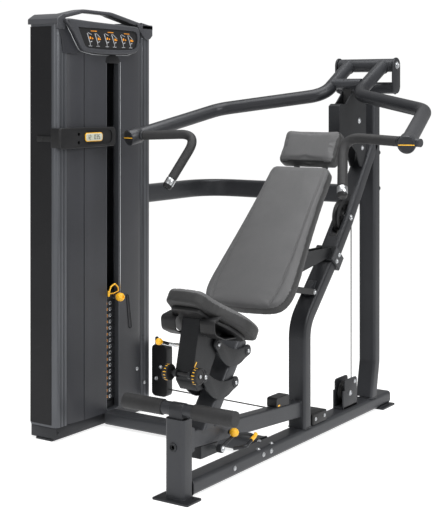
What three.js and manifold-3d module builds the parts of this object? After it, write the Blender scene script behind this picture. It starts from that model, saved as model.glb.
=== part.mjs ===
// Plate-less selectorised chest press: weight tower on the user's left, floor
// rail with an A-frame behind the bench, and two press arms on a high pivot.
// Millimetres. +Z up, the user faces -Y, the weight tower stands at -X.
// Origin: on the floor below the centre plane of the bench.
import * as THREE from 'three';
import { mergeVertices } from 'three/addons/utils/BufferGeometryUtils.js';
import Module from 'manifold-3d';

const wasm = await Module();
wasm.setup();

// ------------------------------------------------------------ dimensions
const GAP = 0.3;                 // clearance between seated pieces
const TUBE_W = 84;               // frame tube, wide side (along X)
const TUBE_D = 60;               // frame tube, narrow side
const HW = TUBE_W / 2;
const RAIL_Z0 = 8, RAIL_Z1 = 66; // floor rail, underside and top
const RAIL_FRONT_Y = 73, RAIL_SPLICE_Y = 589, RAIL_REAR_Y = 1700;
const POST_Y0 = 8, POST_Y1 = 73, POST_Z1 = 297;
const FOOT_BAR_Z = 327, FOOT_BAR_Y = 41, FOOT_BAR_R = 25, FOOT_SLEEVE_R = 29.5, FOOT_BAR_HALF = 250;
const CROSS_Y0 = 642, CROSS_Y1 = 726;         // cross tube from tower to rail
const UPRIGHT_Y0 = 1540, UPRIGHT_Y1 = 1602, UPRIGHT_Z1 = 1478;
const BRACE_Z = 1010;                          // rear brace, centre height
const PIVOT = [1548, 1617];                    // press arm axis (Y, Z)
const PIVOT_TUBE_R = 31, PIVOT_HALF = 141;
const ARM_R = 30, HUB_R = 35, GRIP_R = 20;
const TOWER_X0 = -1010, TOWER_X1 = -858;       // tower, far and near sides
const TOWER_Y0 = 330, TOWER_Y1 = 998, TOWER_Z1 = 1784;
const SLOT_Y0 = 656, SLOT_Y1 = 743, SLOT_Z0 = 60, SLOT_Z1 = 1630;
const STACK_Y0 = 560, STACK_Y1 = 850, STACK_X0 = -966, STACK_X1 = -866, ROD_X = -916;
const PLATE_T = 27, PLATE_PITCH = 28, PLATES = 16, STACK_Z0 = 108;
const BACK_TILT = 42.8, BACK_LEN = 725, BACK_T = 62; // backrest from vertical
const BACK_TOP = [925, 1184];
const SEAT_TILT = 34, SEAT_LEN = 300, SEAT_T = 58;   // seat, front edge raised
const SEAT_REAR = [340, 592];
const RU = [427, 482], RL = [339, 375];        // rear link pivots (Y, Z)
const PIN_R = 8;
const LINK = [-206, 60];                       // rear pivot to front pivot
const LUG = [986, 634];                         // strut pivot on the leg (Y, Z)
const LEG_PULLEY = [1305, 928], LEG_PULLEY_R = 78;
const FLOOR_PULLEY = [1326, 131], FLOOR_PULLEY_R = 50;

// ------------------------------------------------------------ materials
const mat = (color, roughness, metalness) => () => new THREE.MeshStandardMaterial({ color, roughness, metalness });
const FRAME = mat(0x3c3d40, 0.45, 0.55), BLACK = mat(0x1b1b1d, 0.6, 0), RUBBER = mat(0x262628, 0.8, 0);
const PAD = mat(0x57585a, 0.75, 0), CHROME = mat(0xd0d2d4, 0.2, 1), YELLOW = mat(0xf2a81a, 0.45, 0);
const IRON = mat(0x2b2c2e, 0.5, 0.7), PANEL = mat(0x46474a, 0.4, 0.1), SCREEN = mat(0xb9bcae, 0.3, 0);

// ------------------------------------------------------------ solids
const solid = (geo) => {
  let g = geo.index ? geo.toNonIndexed() : geo.clone();
  g.deleteAttribute('normal'); g.deleteAttribute('uv');
  g = mergeVertices(g, 1e-3);
  return new wasm.Manifold(new wasm.Mesh({
    numProp: 3,
    vertProperties: new Float32Array(g.attributes.position.array),
    triVerts: new Uint32Array(g.index.array),
  }));
};
const toGeo = (m) => {
  const k = m.getMesh();
  const g = new THREE.BufferGeometry();
  const pos = new Float32Array((k.vertProperties.length / k.numProp) * 3);
  for (let i = 0; i < pos.length / 3; i++) for (let j = 0; j < 3; j++) pos[3 * i + j] = k.vertProperties[i * k.numProp + j];
  g.setAttribute('position', new THREE.BufferAttribute(pos, 3));
  g.setIndex(new THREE.BufferAttribute(new Uint32Array(k.triVerts), 1));
  return g;
};
const box = (x0, x1, y0, y1, z0, z1) => solid(new THREE.BoxGeometry(x1 - x0, y1 - y0, z1 - z0).translate((x0 + x1) / 2, (y0 + y1) / 2, (z0 + z1) / 2));
const basis = (ex, ey, ez, o = [0, 0, 0]) => new THREE.Matrix4().makeBasis(new THREE.Vector3(...ex), new THREE.Vector3(...ey), new THREE.Vector3(...ez)).setPosition(...o);
const extrude = (pts, depth, bevel, seg) => {
  const s = new THREE.Shape(pts.map(([a, b]) => new THREE.Vector2(a, b)));
  const b = bevel || 0;
  const g = new THREE.ExtrudeGeometry(s, { depth: depth - 2 * b, steps: 1, curveSegments: 4, bevelEnabled: b > 0, bevelThickness: b, bevelSize: b, bevelOffset: -b, bevelSegments: seg || 2 });
  if (b > 0) g.translate(0, 0, b);
  return g;
};
const prismX = (pts, x0, x1, bevel, seg) => solid(extrude(pts, x1 - x0, bevel, seg).applyMatrix4(basis([0, 1, 0], [0, 0, 1], [1, 0, 0], [x0, 0, 0])));
const prismZ = (pts, z0, z1, bevel, seg) => solid(extrude(pts, z1 - z0, bevel, seg).applyMatrix4(basis([1, 0, 0], [0, 1, 0], [0, 0, 1], [0, 0, z0])));
const prismY = (pts, y0, y1, bevel, seg) => solid(extrude(pts, y1 - y0, bevel, seg).applyMatrix4(basis([1, 0, 0], [0, 0, 1], [0, -1, 0], [0, y1, 0])));
const cyl = (p, q, r, seg = 20, r2 = r) => {
  const a = new THREE.Vector3(...p), b = new THREE.Vector3(...q), d = b.clone().sub(a);
  const g = new THREE.CylinderGeometry(r2, r, d.length(), seg);
  g.applyQuaternion(new THREE.Quaternion().setFromUnitVectors(new THREE.Vector3(0, 1, 0), d.clone().normalize()));
  g.translate(...a.add(b).multiplyScalar(0.5).toArray());
  return solid(g);
};
const ball = (c, r, seg = 16) => solid(new THREE.SphereGeometry(r, seg, Math.round(seg * 0.6)).translate(...c));
// rounded rectangle outline
const rrect = (a0, a1, b0, b1, r, n = 3) => {
  const out = [];
  const c = [[a1 - r, b0 + r, -90], [a1 - r, b1 - r, 0], [a0 + r, b1 - r, 90], [a0 + r, b0 + r, 180]];
  for (const [x, y, t] of c) for (let i = 0; i <= n; i++) {
    const q = (t + 90 * i / n) * Math.PI / 180;
    out.push([x + r * Math.cos(q), y + r * Math.sin(q)]);
  }
  return out;
};
// centre line with rounded corners
const fillet = (pts, r, n = 5) => {
  const out = [pts[0]];
  for (let i = 1; i < pts.length - 1; i++) {
    const [p, c, q] = [pts[i - 1], pts[i], pts[i + 1]];
    const sub = (u, v) => u.map((k, j) => k - v[j]), len = (u) => Math.hypot(...u);
    const u = sub(p, c), v = sub(q, c), lu = len(u), lv = len(v);
    const cosv = u.reduce((s, k, j) => s + k * v[j], 0) / lu / lv;
    const half = Math.acos(Math.max(-1, Math.min(1, cosv))) / 2;
    const rr = Array.isArray(r) ? r[i - 1] : r;
    const t = Math.min(rr / Math.tan(half), lu * 0.49, lv * 0.49);
    const a = c.map((k, j) => k + u[j] / lu * t), b = c.map((k, j) => k + v[j] / lv * t);
    for (let s = 0; s <= n; s++) {
      const w = s / n;
      out.push(c.map((k, j) => (1 - w) * (1 - w) * a[j] + 2 * w * (1 - w) * k + w * w * b[j]));
    }
  }
  out.push(pts[pts.length - 1]);
  return out;
};
// outline of a strip of width h that follows a 2-D centre line
const strip = (line, h) => {
  const L = [], R = [];
  line.forEach((p, i) => {
    const a = line[Math.max(0, i - 1)], b = line[Math.min(line.length - 1, i + 1)];
    const d = [b[0] - a[0], b[1] - a[1]], l = Math.hypot(...d), n = [-d[1] / l, d[0] / l];
    L.push([p[0] + n[0] * h / 2, p[1] + n[1] * h / 2]);
    R.push([p[0] - n[0] * h / 2, p[1] - n[1] * h / 2]);
  });
  return R.concat(L.reverse());
};
const circle = (c, r, n = 16, a0 = 0, a1 = 360) => {
  const out = [], full = a1 - a0 === 360;
  for (let i = 0; i < (full ? n : n + 1); i++) {
    const q = (a0 + (a1 - a0) * i / n) * Math.PI / 180;
    out.push([c[0] + r * Math.cos(q), c[1] + r * Math.sin(q)]);
  }
  return out;
};
// round tube along a 3-D centre line with rounded bends
const tube = (pts, r, bend, seg = 12, n = 5) => {
  const line = fillet(pts, bend, n).map((p) => new THREE.Vector3(...p));
  const path = new THREE.CurvePath();
  for (let i = 0; i < line.length - 1; i++) path.add(new THREE.LineCurve3(line[i], line[i + 1]));
  const lens = [0];
  for (let i = 1; i < line.length; i++) lens.push(lens[i - 1] + line[i].distanceTo(line[i - 1]));
  const total = lens[lens.length - 1], steps = line.length - 1;
  // one step per vertex of the centre line
  path.getPointAt = (u) => line[Math.round(u * steps)].clone();
  path.getSpacedPoints = () => line.map((p) => p.clone());
  path.getTangentAt = (u) => {
    const i = Math.round(u * steps);
    return line[Math.min(steps, i + 1)].clone().sub(line[Math.max(0, i - 1)]).normalize();
  };
  path.getLength = () => total;
  const s = new THREE.Shape(circle([0, 0], r, seg).map(([a, b]) => new THREE.Vector2(a, b)));
  return solid(new THREE.ExtrudeGeometry(s, { steps, extrudePath: path, bevelEnabled: false }));
};
const capsule = (a, b, ra, rb, n = 8) => {
  const t = Math.atan2(b[1] - a[1], b[0] - a[0]) * 180 / Math.PI;
  return circle(b, rb, n, t - 90, t + 90).concat(circle(a, ra, n, t + 90, t + 270));
};
const rad = Math.PI / 180;

const root = new THREE.Group();
const pieces = {};
const put = (name, m, material) => {
  const mesh = new THREE.Mesh(toGeo(m), material());
  mesh.name = name;
  pieces[name] = m;
  root.add(mesh);
  return m;
};

// ------------------------------------------------------------ floor frame
const footPlate = prismZ(rrect(-80, 80, -20, 72.7, 6, 2), 0, 8).subtract(cyl([-61, 48, -1], [-61, 48, 9], 6, 12)).subtract(cyl([61, 48, -1], [61, 48, 9], 6, 12));
put('front_post', footPlate.add(prismZ(rrect(-HW, HW, POST_Y0, POST_Y1 - GAP, 14), 7, POST_Z1)).add(prismY(circle([-4, 196], 17, 16), POST_Y0 - 5, POST_Y0 + 2)).subtract(cyl([-4, -5, 196], [-4, 22, 196], 6, 12)), FRAME);
const railSection = rrect(-HW, HW, RAIL_Z0, RAIL_Z1, 16);
put('front_rail', prismY(railSection, RAIL_FRONT_Y, RAIL_SPLICE_Y - GAP), FRAME);
put('rear_rail', prismY(railSection, RAIL_SPLICE_Y, RAIL_REAR_Y, 0).add(prismZ(rrect(-62, 62, 1590, 1716, 6, 2), 0, 8.5)), FRAME);
put('rail_end_cap', prismY(rrect(-HW + 1, HW - 1, RAIL_Z0 + 2, RAIL_Z1 - 1, 15), RAIL_REAR_Y + GAP, RAIL_REAR_Y + 9, 2), BLACK);
put('cross_base_tube', prismX(rrect(CROSS_Y0, CROSS_Y1, RAIL_Z0, RAIL_Z1, 16), TOWER_X1 + 14 + GAP, -HW - GAP), FRAME);

// foot bar with two rubber sleeves
put('foot_bar', cyl([-FOOT_BAR_HALF + 6, FOOT_BAR_Y, FOOT_BAR_Z], [FOOT_BAR_HALF - 6, FOOT_BAR_Y, FOOT_BAR_Z], FOOT_BAR_R, 20)
  .subtract(box(-HW, HW, 0, 80, 250, POST_Z1 + GAP)), FRAME);
for (const [side, s] of [['left', -1], ['right', 1]]) {
  const a = [s * 68, FOOT_BAR_Y, FOOT_BAR_Z], b = [s * FOOT_BAR_HALF, FOOT_BAR_Y, FOOT_BAR_Z];
  put(`foot_sleeve_${side}`, cyl(a, b, FOOT_SLEEVE_R, 20).subtract(cyl([s * 60, FOOT_BAR_Y, FOOT_BAR_Z], [s * (FOOT_BAR_HALF - 6 + GAP), FOOT_BAR_Y, FOOT_BAR_Z], FOOT_BAR_R + GAP, 20)), RUBBER);
}

// A-frame leg: upright at the foot, then leaning back to meet the rear upright
const legLine = fillet([[918, RAIL_Z1 + GAP], [918, 505], [1165, 752], [1300, 905], [1560, 1252]], [150, 500, 500], 5);
const legSlot = prismX([[1150, 905], [1225, 838], [1470, 838], [1470, 1022], [1290, 1032]], -19, 19);
const uprightCut = box(-60, 60, UPRIGHT_Y0 - GAP, UPRIGHT_Y1 + 60, 1000, 1500);
let leg = prismX(strip(legLine, TUBE_D), -HW, HW, 13, 2).subtract(box(-60, 60, 800, 1000, 0, RAIL_Z1 + GAP)).subtract(legSlot).subtract(uprightCut);
// lug on the front face that takes the foot of the backrest strut
leg = leg.add(prismX(capsule([1030, 650], LUG, 26, 18, 6), -14, 14)).subtract(cyl([-40, ...LUG], [40, ...LUG], 6.5, 12));
put('incline_leg', leg, FRAME);
const uprightLine = fillet([[1536, RAIL_Z1 + GAP], [1571, 230], [1571, UPRIGHT_Z1]], 120, 4);
put('rear_upright', prismX(strip(uprightLine, UPRIGHT_Y1 - UPRIGHT_Y0), -HW, HW, 13, 2).subtract(box(-60, 60, 1400, 1700, 0, RAIL_Z1 + GAP)), FRAME);
// rear brace: out of the back of the tower, round a bend, across to the upright
const braceLine = fillet([[-925, TOWER_Y1 + GAP], [-925, 1571], [-HW - GAP, 1571]], 190, 8);
put('rear_brace', prismZ(strip(braceLine, TUBE_D), BRACE_Z - HW, BRACE_Z + HW, 13, 2), FRAME);
// cover of the corner pulley on the rail, behind the leg
put('rail_pulley_box', prismZ(rrect(-41, 41, 962, 1085, 8, 2), RAIL_Z1 + GAP, 112, 3, 1).subtract(box(-60, -20, 1010, 1034, 78, 100)), BLACK);

// ------------------------------------------------------------ seat beam and post
const beamTop = (y) => 249 - 0.0737 * y;   // slopes down to the rear
const beamFace = 888 - GAP;
let beam = prismX([[96, beamTop(96) - 68], [beamFace, beamTop(beamFace) - 68], [beamFace, beamTop(beamFace)], [96, beamTop(96)]], -25, 25, 6, 2)
  .subtract(cyl([-40, 762, 160], [40, 762, 160], 5, 12));
put('seat_beam', beam.add(prismX([[POST_Y1 + GAP, 160], [97, 168], [97, 250], [POST_Y1 + GAP, 262]].reverse(), -30, 30, 0)), FRAME);
put('beam_stop_block', box(-24, 24, 690, 790, beamTop(690) + 1, 236).subtract(prismX([[600, beamTop(600) + GAP], [900, beamTop(900) + GAP], [900, 100], [600, 100]], -60, 60)), BLACK);
const postDir = [0.6354, 0.7722], postN = [0.7722, -0.6354];
const P = (o, a, b) => [o[0] + a * postDir[0] + b * postN[0], o[1] + a * postDir[1] + b * postN[1]];
const postBase = [176, 236];
let seatPost = prismX([P(postBase, -60, -30), P(postBase, -60, 30), P(postBase, 372, 30), P(postBase, 372, -30)], -HW, HW, 10, 2)
  .subtract(prismX([[0, beamTop(0) + GAP], [500, beamTop(500) + GAP], [500, 0], [0, 0]], -60, 60));
// ears that carry the rear link pivots
for (const q of [RU, RL]) seatPost = seatPost.add(prismX(capsule(P(q, 0, -22), q, 20, 20, 8), -HW + 2, HW - 2));
for (const q of [RU, RL]) seatPost = seatPost.subtract(cyl([-60, ...q], [60, ...q], PIN_R + 0.5, 14));
put('seat_post', seatPost, FRAME);

const su = [-Math.cos(SEAT_TILT * rad), Math.sin(SEAT_TILT * rad)], sn = [Math.sin(SEAT_TILT * rad), Math.cos(SEAT_TILT * rad)];
// local x -> X, local y -> forward and up, local z -> seat normal
const seatM = (lift) => basis([1, 0, 0], [0, -su[0] * -1, su[1]], [0, sn[0], sn[1]], [0, SEAT_REAR[0] + sn[0] * lift, SEAT_REAR[1] + sn[1] * lift]);
const planar = (pts, depth, bevel, seg, M) => {
  const g = extrude(pts, depth, bevel, seg).applyMatrix4(M);
  if (M.determinant() < 0) {
    const ng = g.index ? g.toNonIndexed() : g;
    const a = ng.attributes.position.array;
    for (let i = 0; i < a.length; i += 9) for (let j = 0; j < 3; j++) { const t = a[i + 3 + j]; a[i + 3 + j] = a[i + 6 + j]; a[i + 6 + j] = t; }
    return solid(ng);
  }
  return solid(g);
};
// ------------------------------------------------------------ seat links and carrier
const FU = [RU[0] + LINK[0], RU[1] + LINK[1]], FL = [RL[0] + LINK[0], RL[1] + LINK[1]];
const banana = (a, b) => {
  // crescent plate between two pivots, bellied downwards
  const t = Math.atan2(b[1] - a[1], b[0] - a[0]) / rad, L = Math.hypot(b[0] - a[0], b[1] - a[1]);
  const F = (u, v) => [a[0] + u * Math.cos(t * rad) - v * Math.sin(t * rad), a[1] + u * Math.sin(t * rad) + v * Math.cos(t * rad)];
  const out = [];
  for (const [u, v] of circle([0, 0], 24, 6, 70, 215)) out.push(F(u, v));
  for (const [u, v] of [[L * 0.12, -46], [L * 0.3, -66], [L * 0.5, -73], [L * 0.7, -66], [L * 0.88, -46]]) out.push(F(u, v));
  for (const [u, v] of circle([L, 0], 24, 6, -35, 110)) out.push(F(u, v));
  for (const [u, v] of [[L * 0.8, 4], [L * 0.5, -6], [L * 0.2, 4]]) out.push(F(u, v));
  return out;
};
for (const [nm, f, r] of [['upper', FU, RU], ['lower', FL, RL]]) {
  let pair = cyl([-HW - 12, ...f], [HW + 12, ...f], PIN_R, 14).add(cyl([-HW - 12, ...r], [HW + 12, ...r], PIN_R, 14));
  for (const x of [HW + 3, -HW - 10]) pair = pair.add(prismX(banana(f, r), x, x + 7, 0));
  put(`${nm}_link`, pair, FRAME);
}
function carrierCut() { return planar([[-400, -400], [400, -400], [400, 700], [-400, 700]], 400, 0, 1, seatM(-SEAT_T - 2 * GAP - 16)); }
// carrier: channel with a front face and two side cheeks, round at the bottom
const cheekOutline = [[72, 462], [118, 650], [150, 668], [262, 606], [262, 545], [232, 512], [190, 452], ...circle([128, 432], 52, 6, 0, -120), [74, 424]];
let carrier = prismX(cheekOutline, -40, 40, 2, 1)
  .subtract(prismX([[96, 440], [136, 640], [290, 570], [290, 440], [200, 380], [110, 360]], -32, 32));
carrier = carrier.subtract(prismX([[60, 300], [300, 300], [300, 388], [60, 388]], -60, 60));
for (const q of [FU, FL]) carrier = carrier.subtract(cyl([-60, ...q], [60, ...q], PIN_R + 0.5, 14));
for (const x of [26, -39]) carrier = carrier.add(prismX(capsule([96, 452], [66, 452], 14, 14, 6), x, x + 13));
carrier = carrier.subtract(cyl([-60, 66, 452], [60, 66, 452], 6 + GAP, 12)).subtract(carrierCut());
const carrierSolid = carrier;
put('seat_carrier', carrier, FRAME);
// indicator discs on a cross rod at the foot of the carrier
const DISC = [66, 452];
put('angle_indicator', cyl([-56, ...DISC], [56, ...DISC], 6, 12).add(cyl([-78, ...DISC], [-54, ...DISC], 31, 20)).add(cyl([54, ...DISC], [78, ...DISC], 31, 20)), BLACK);

// seat pan and pad in the seat's own tilted plane
const seatHalf = [[60, 0], [120, 1], [158, 6], [176, 17], [184, 42], [183, 84], [168, 130], [143, 166], [108, 212], [88, 266], [83, 290], [68, 314], [30, 320]];
const seatOutline = seatHalf.map(([a, b]) => [-a, b]).reverse().concat(seatHalf).map(([a, b]) => [a, b]);
put('seat_pad', planar(seatOutline, SEAT_T, 14, 3, seatM(-SEAT_T)), PAD);
const panOutline = seatOutline.map(([a, b]) => [a * 0.8, 150 + (b - 150) * 0.78]);
// bent support wings that hang below the pan on both sides
const wingLine = fillet([[156, 664], [92, 652], [98, 604], [160, 577], [236, 572]], [18, 26, 60], 3);
let seatPan = planar(panOutline, 16, 3, 1, seatM(-SEAT_T - GAP - 16));
for (const x of [56, -122]) seatPan = seatPan.add(prismX(strip(wingLine, 6), x, x + 66).subtract(planar([[-400, -400], [400, -400], [400, 700], [-400, 700]], 300, 0, 1, seatM(-SEAT_T - GAP - 8))));
put('seat_pan', seatPan, BLACK);

// ------------------------------------------------------------ backrest
const bu = [Math.sin(BACK_TILT * rad), Math.cos(BACK_TILT * rad)], bn = [-Math.cos(BACK_TILT * rad), Math.sin(BACK_TILT * rad)];
// local x -> X, local y -> up along the pad, local z -> towards the user
const backM = (lift) => basis([1, 0, 0], [0, bu[0], bu[1]], [0, bn[0], bn[1]], [0, BACK_TOP[0] + bn[0] * lift, BACK_TOP[1] + bn[1] * lift]);
const backOutline = [[-120, 0], [120, 0], [138, -8], [146, -32], [152, -160], [172, -370], [196, -560], [198, -620], [184, -672], [146, -708], [80, -722], [0, -725], [-80, -722], [-146, -708], [-184, -672], [-198, -620], [-196, -560], [-172, -370], [-152, -160], [-146, -32], [-138, -8]];
put('back_pad', planar(backOutline, BACK_T, 12, 3, backM(-BACK_T)), PAD);
put('back_board', planar(backOutline.map(([a, b]) => [a * 0.86, -362 + (b + 362) * 0.92]), 12, 2, 1, backM(-BACK_T - GAP - 12)), BLACK);
// head pad, a wedge that stands steeper than the back
const headTop = [1032, 1332], headBot = [952, 1194];
put('head_pad', prismX([[headBot[0], headBot[1]], [headTop[0], headTop[1]], [headTop[0] + 62, headTop[1] - 30], [headBot[0] + 76, headBot[1] - 14], [headBot[0] + 26, headBot[1] - 17]], -140, 140, 12, 3), PAD);
// clamp collar on the leg, with the arm to the pad and the two struts
const ld = [0.662, 0.7495], ln = [-0.7495, 0.662];  // leg direction and its front normal near the clamp
const legC = [1168, 757];
const Q = (a, b) => [legC[0] + a * ld[0] + b * ln[0], legC[1] + a * ld[1] + b * ln[1]];
const legGrow = prismX(strip(legLine, TUBE_D + 2 * GAP + 0.6), -HW - GAP, HW + GAP);
let collar = prismX([Q(-34, -42), Q(34, -42), Q(34, 46), Q(-34, 46)], -HW - 10, HW + 10, 3, 1).subtract(legGrow);
const boardBack = (s, d) => [BACK_TOP[0] + bu[0] * s - bn[0] * d, BACK_TOP[1] + bu[1] * s - bn[1] * d];
const bb = BACK_T + 12 + 2 * GAP + GAP;
const armA = boardBack(-420, bb), armB = boardBack(-560, bb);
for (const [side, s] of [['left', -1], ['right', 1]]) {
  const x0 = s > 0 ? 20 : -28, x1 = s > 0 ? 28 : -20;
  collar = collar.add(prismX([boardBack(-400, bb), boardBack(-590, bb), boardBack(-584, bb + 26), Q(-28, 44), Q(28, 44), boardBack(-410, bb + 30)].reverse(), x0, x1));
}
const strutTopPin = boardBack(-552, bb + 34);
put('back_bracket', collar.subtract(cyl([-60, ...strutTopPin], [60, ...strutTopPin], 6.5, 12)), FRAME);
let strut = cyl([-31, ...LUG], [31, ...LUG], 6, 12).add(cyl([-31, ...strutTopPin], [31, ...strutTopPin], 6, 12));
for (const x of [29, -35]) strut = strut.add(prismX(capsule(LUG, strutTopPin, 13, 13, 6), x, x + 6));
put('back_strut', strut, BLACK);

// ------------------------------------------------------------ high pivot
const endPlate = capsule([PIVOT[0], 1522], [PIVOT[0], PIVOT[1]], 36, 36, 8);
let yoke = cyl([-PIVOT_HALF - 4, PIVOT[0] + 2, 1512], [PIVOT_HALF + 4, PIVOT[0] + 2, 1512], 27, 18);
for (const x of [PIVOT_HALF + 2, -PIVOT_HALF - 12]) yoke = yoke.add(prismX(endPlate, x, x + 10, 1.5, 1));
put('pivot_yoke', yoke.subtract(box(-60, 60, 1500, 1640, 1400, UPRIGHT_Z1 + GAP)), FRAME);

// press arm weldment: pivot tube, two arms, cross tube and hubs
const armPts = (s) => [[s * 89.6, PIVOT[0] - 10, 1626 - 8], [s * 83, 1284.5, 1481], [s * 512, 1067, 1414.5], [s * 650, 603.6, 1300]];
let press = cyl([-PIVOT_HALF, PIVOT[0], PIVOT[1]], [PIVOT_HALF, PIVOT[0], PIVOT[1]], PIVOT_TUBE_R, 20);
const crossC = [1352, 1530];
const hubDir = (() => { const a = armPts(1); const d = new THREE.Vector3(...a[3]).sub(new THREE.Vector3(...a[2])).normalize(); return d; })();
for (const [side, s] of [['left', -1], ['right', 1]]) {
  const p = armPts(s), d = new THREE.Vector3(hubDir.x * s, hubDir.y, hubDir.z), H = new THREE.Vector3(...p[3]);
  const end = H.clone().addScaledVector(d, -30).toArray();
  press = press.add(tube([p[0], p[1], p[2], end], ARM_R, [115, 115], 12, 5));
  const h0 = H.clone().addScaledVector(d, -34).toArray(), h1 = H.clone().addScaledVector(d, 30).toArray();
  const gripPts = [[s * 700, 601, 1302], [s * 345, 663, 1315], [s * 412, 532, 1103]];
  const bar = tube([[s * 706, 600, 1301.5], [s * 606, 618, 1304.7]], GRIP_R - 4, 1, 16);
  press = press.add(cyl(h0, h1, HUB_R, 20)).add(bar);
  const g0 = new THREE.Vector3(...gripPts[1]).sub(new THREE.Vector3(...gripPts[0])).normalize();
  const gs = new THREE.Vector3(s * 606, 618, 1304.7).addScaledVector(g0, GAP).toArray();
  const gv = new THREE.Vector3(...gripPts[2]).sub(new THREE.Vector3(...gripPts[1])).normalize();
  const ringA = new THREE.Vector3(...gripPts[2]).addScaledVector(gv, -30), ringB = new THREE.Vector3(...gripPts[2]).addScaledVector(gv, 0);
  put(`hand_grip_${side}`, tube([gs, gripPts[1], ringA.toArray()], GRIP_R, 62, 12, 5), RUBBER);
  put(`grip_end_${side}`, cyl(ringA.clone().addScaledVector(gv, GAP).toArray(), ringB.toArray(), GRIP_R + 0.5, 18).add(cyl(ringB.clone().addScaledVector(gv, -0.5).toArray(), ringB.clone().addScaledVector(gv, 16).toArray(), GRIP_R + 0.5, 18, GRIP_R - 4)), CHROME);
}
press = press.add(cyl([-72, crossC[0], crossC[1]], [72, crossC[0], crossC[1]], 24, 16))
  .subtract(cyl([-21, crossC[0], crossC[1]], [21, crossC[0], crossC[1]], 19, 20))
  .subtract(prismX([[crossC[0], crossC[1]], ...[-112, -70, -28].map((q) => [crossC[0] + 50 * Math.cos(q * rad), crossC[1] + 50 * Math.sin(q * rad)])], -21, 21))
  .add(cyl([-30, crossC[0], crossC[1]], [30, crossC[0], crossC[1]], 8, 14));
put('press_frame', press, FRAME);
// flat lift strap hanging from the cross tube into the cover
put('lift_strap', box(-20, 20, crossC[0] - 2.5, crossC[0] + 2.5, 1262, 1516).add(cyl([-20, crossC[0], crossC[1]], [20, crossC[0], crossC[1]], 17, 16)).subtract(cyl([-21, crossC[0], crossC[1]], [21, crossC[0], crossC[1]], 8.5, 14)), BLACK);

// cheek plates and cover of the upper pulley, at the front of the upright
const cheek = [[1262, 1290], [1262, 1424], [1300, 1452], [1352, 1496], [1478, 1496], [1478, 1230], [1452, 1146], [1424, 1152], [1384, 1222], [1330, 1262]];
const legTall = prismX(strip(legLine, TUBE_D + 1.2), -80, 80);
const upGrow = box(-80, 80, UPRIGHT_Y0 - GAP, 1700, 900, 1490);
let housing = prismX([[1222, 1300], [1236, 1276], [1292, 1276], [1292, 1440], [1240, 1440], [1222, 1430]], -29, 29, 4, 2);
for (const x of [22, -29]) housing = housing.add(prismX(cheek.slice().reverse(), x, x + 7, 0));
housing = housing.subtract(cyl([-60, PIVOT[0] + 2, 1512], [60, PIVOT[0] + 2, 1512], 27 + GAP, 18)).subtract(legTall).subtract(upGrow).subtract(box(-21.7, 21.7, 1262.5, 1400, 1302, 1560)).subtract(cyl([-60, 1410, 1362], [60, 1410, 1362], 8.5, 12));
const biggest = (m) => m.decompose().sort((a, b) => b.volume() - a.volume())[0];
put('pulley_housing', biggest(housing), BLACK);
put('upper_pulley', cyl([-14, 1410, 1362], [14, 1410, 1362], 52, 24).add(cyl([-34, 1410, 1362], [34, 1410, 1362], 8, 12)), BLACK);

// pulley that shows through the slot of the leg
put('leg_pulley', cyl([-14, LEG_PULLEY[0], LEG_PULLEY[1]], [14, LEG_PULLEY[0], LEG_PULLEY[1]], LEG_PULLEY_R, 28).add(cyl([-18.5, LEG_PULLEY[0], LEG_PULLEY[1]], [18.5, LEG_PULLEY[0], LEG_PULLEY[1]], 14, 12)), BLACK);

// floor pulley in its bracket
put('floor_pulley_bracket', box(-27, -20, 1262, 1392, RAIL_Z1 + GAP, 196).add(box(20, 27, 1262, 1392, RAIL_Z1 + GAP, 196)).add(box(-27, 27, 1262, 1392, RAIL_Z1 + GAP, 76)).subtract(box(-60, 60, 1230, 1276, 150, 220)), FRAME);
put('floor_pulley', cyl([-12, FLOOR_PULLEY[0], FLOOR_PULLEY[1]], [12, FLOOR_PULLEY[0], FLOOR_PULLEY[1]], FLOOR_PULLEY_R, 24).add(cyl([-19.7, FLOOR_PULLEY[0], FLOOR_PULLEY[1]], [19.7, FLOOR_PULLEY[0], FLOOR_PULLEY[1]], 9, 12)), BLACK);
put('vertical_cable', cyl([0, 1385.8, 140], [0, 1385.8, 918], 2.5, 8), BLACK);
put('cross_cable', cyl([-762, 1022, 101], [-22, 1022, 89], 3, 8), BLACK);

// ------------------------------------------------------------ pedal
put('pedal_bracket', box(-22, 22, 150, 262, 120, 166).subtract(prismX([[0, beamTop(0) - 68 - GAP], [500, beamTop(500) - 68 - GAP], [500, 400], [0, 400]], -60, 60)).add(cyl([22, 236, 146], [40, 236, 146], 7, 12)), BLACK);
const pedalLine = [[54, 238, 150], [54, 330, 177], [101, 411, 168], [113, 318, 143], [70, 296, 134]];
put('pedal', tube(pedalLine, 7, 16, 10, 3).add(cyl([41, 236, 146], [63, 236, 146], 16, 14)).add(ball([62.3, 316.4, 189.7], 16.6, 12)).add(cyl([36, 316.4, 187.9], [62.3, 316.4, 187.9], 9, 10)).subtract(cyl([20, 236, 146], [47, 236, 146], 7.5, 12)), FRAME);

// ------------------------------------------------------------ seat lever
put('seat_lever', cyl([-40 - GAP, 128, 540], [-74, 128, 540], 8, 12).add(tube([[-70, 128, 540], [-100, 112, 544], [-112, 80, 556]], 7, 14, 10, 3)).add(ball([-113.5, 70, 559], 13, 12)), CHROME);

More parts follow.
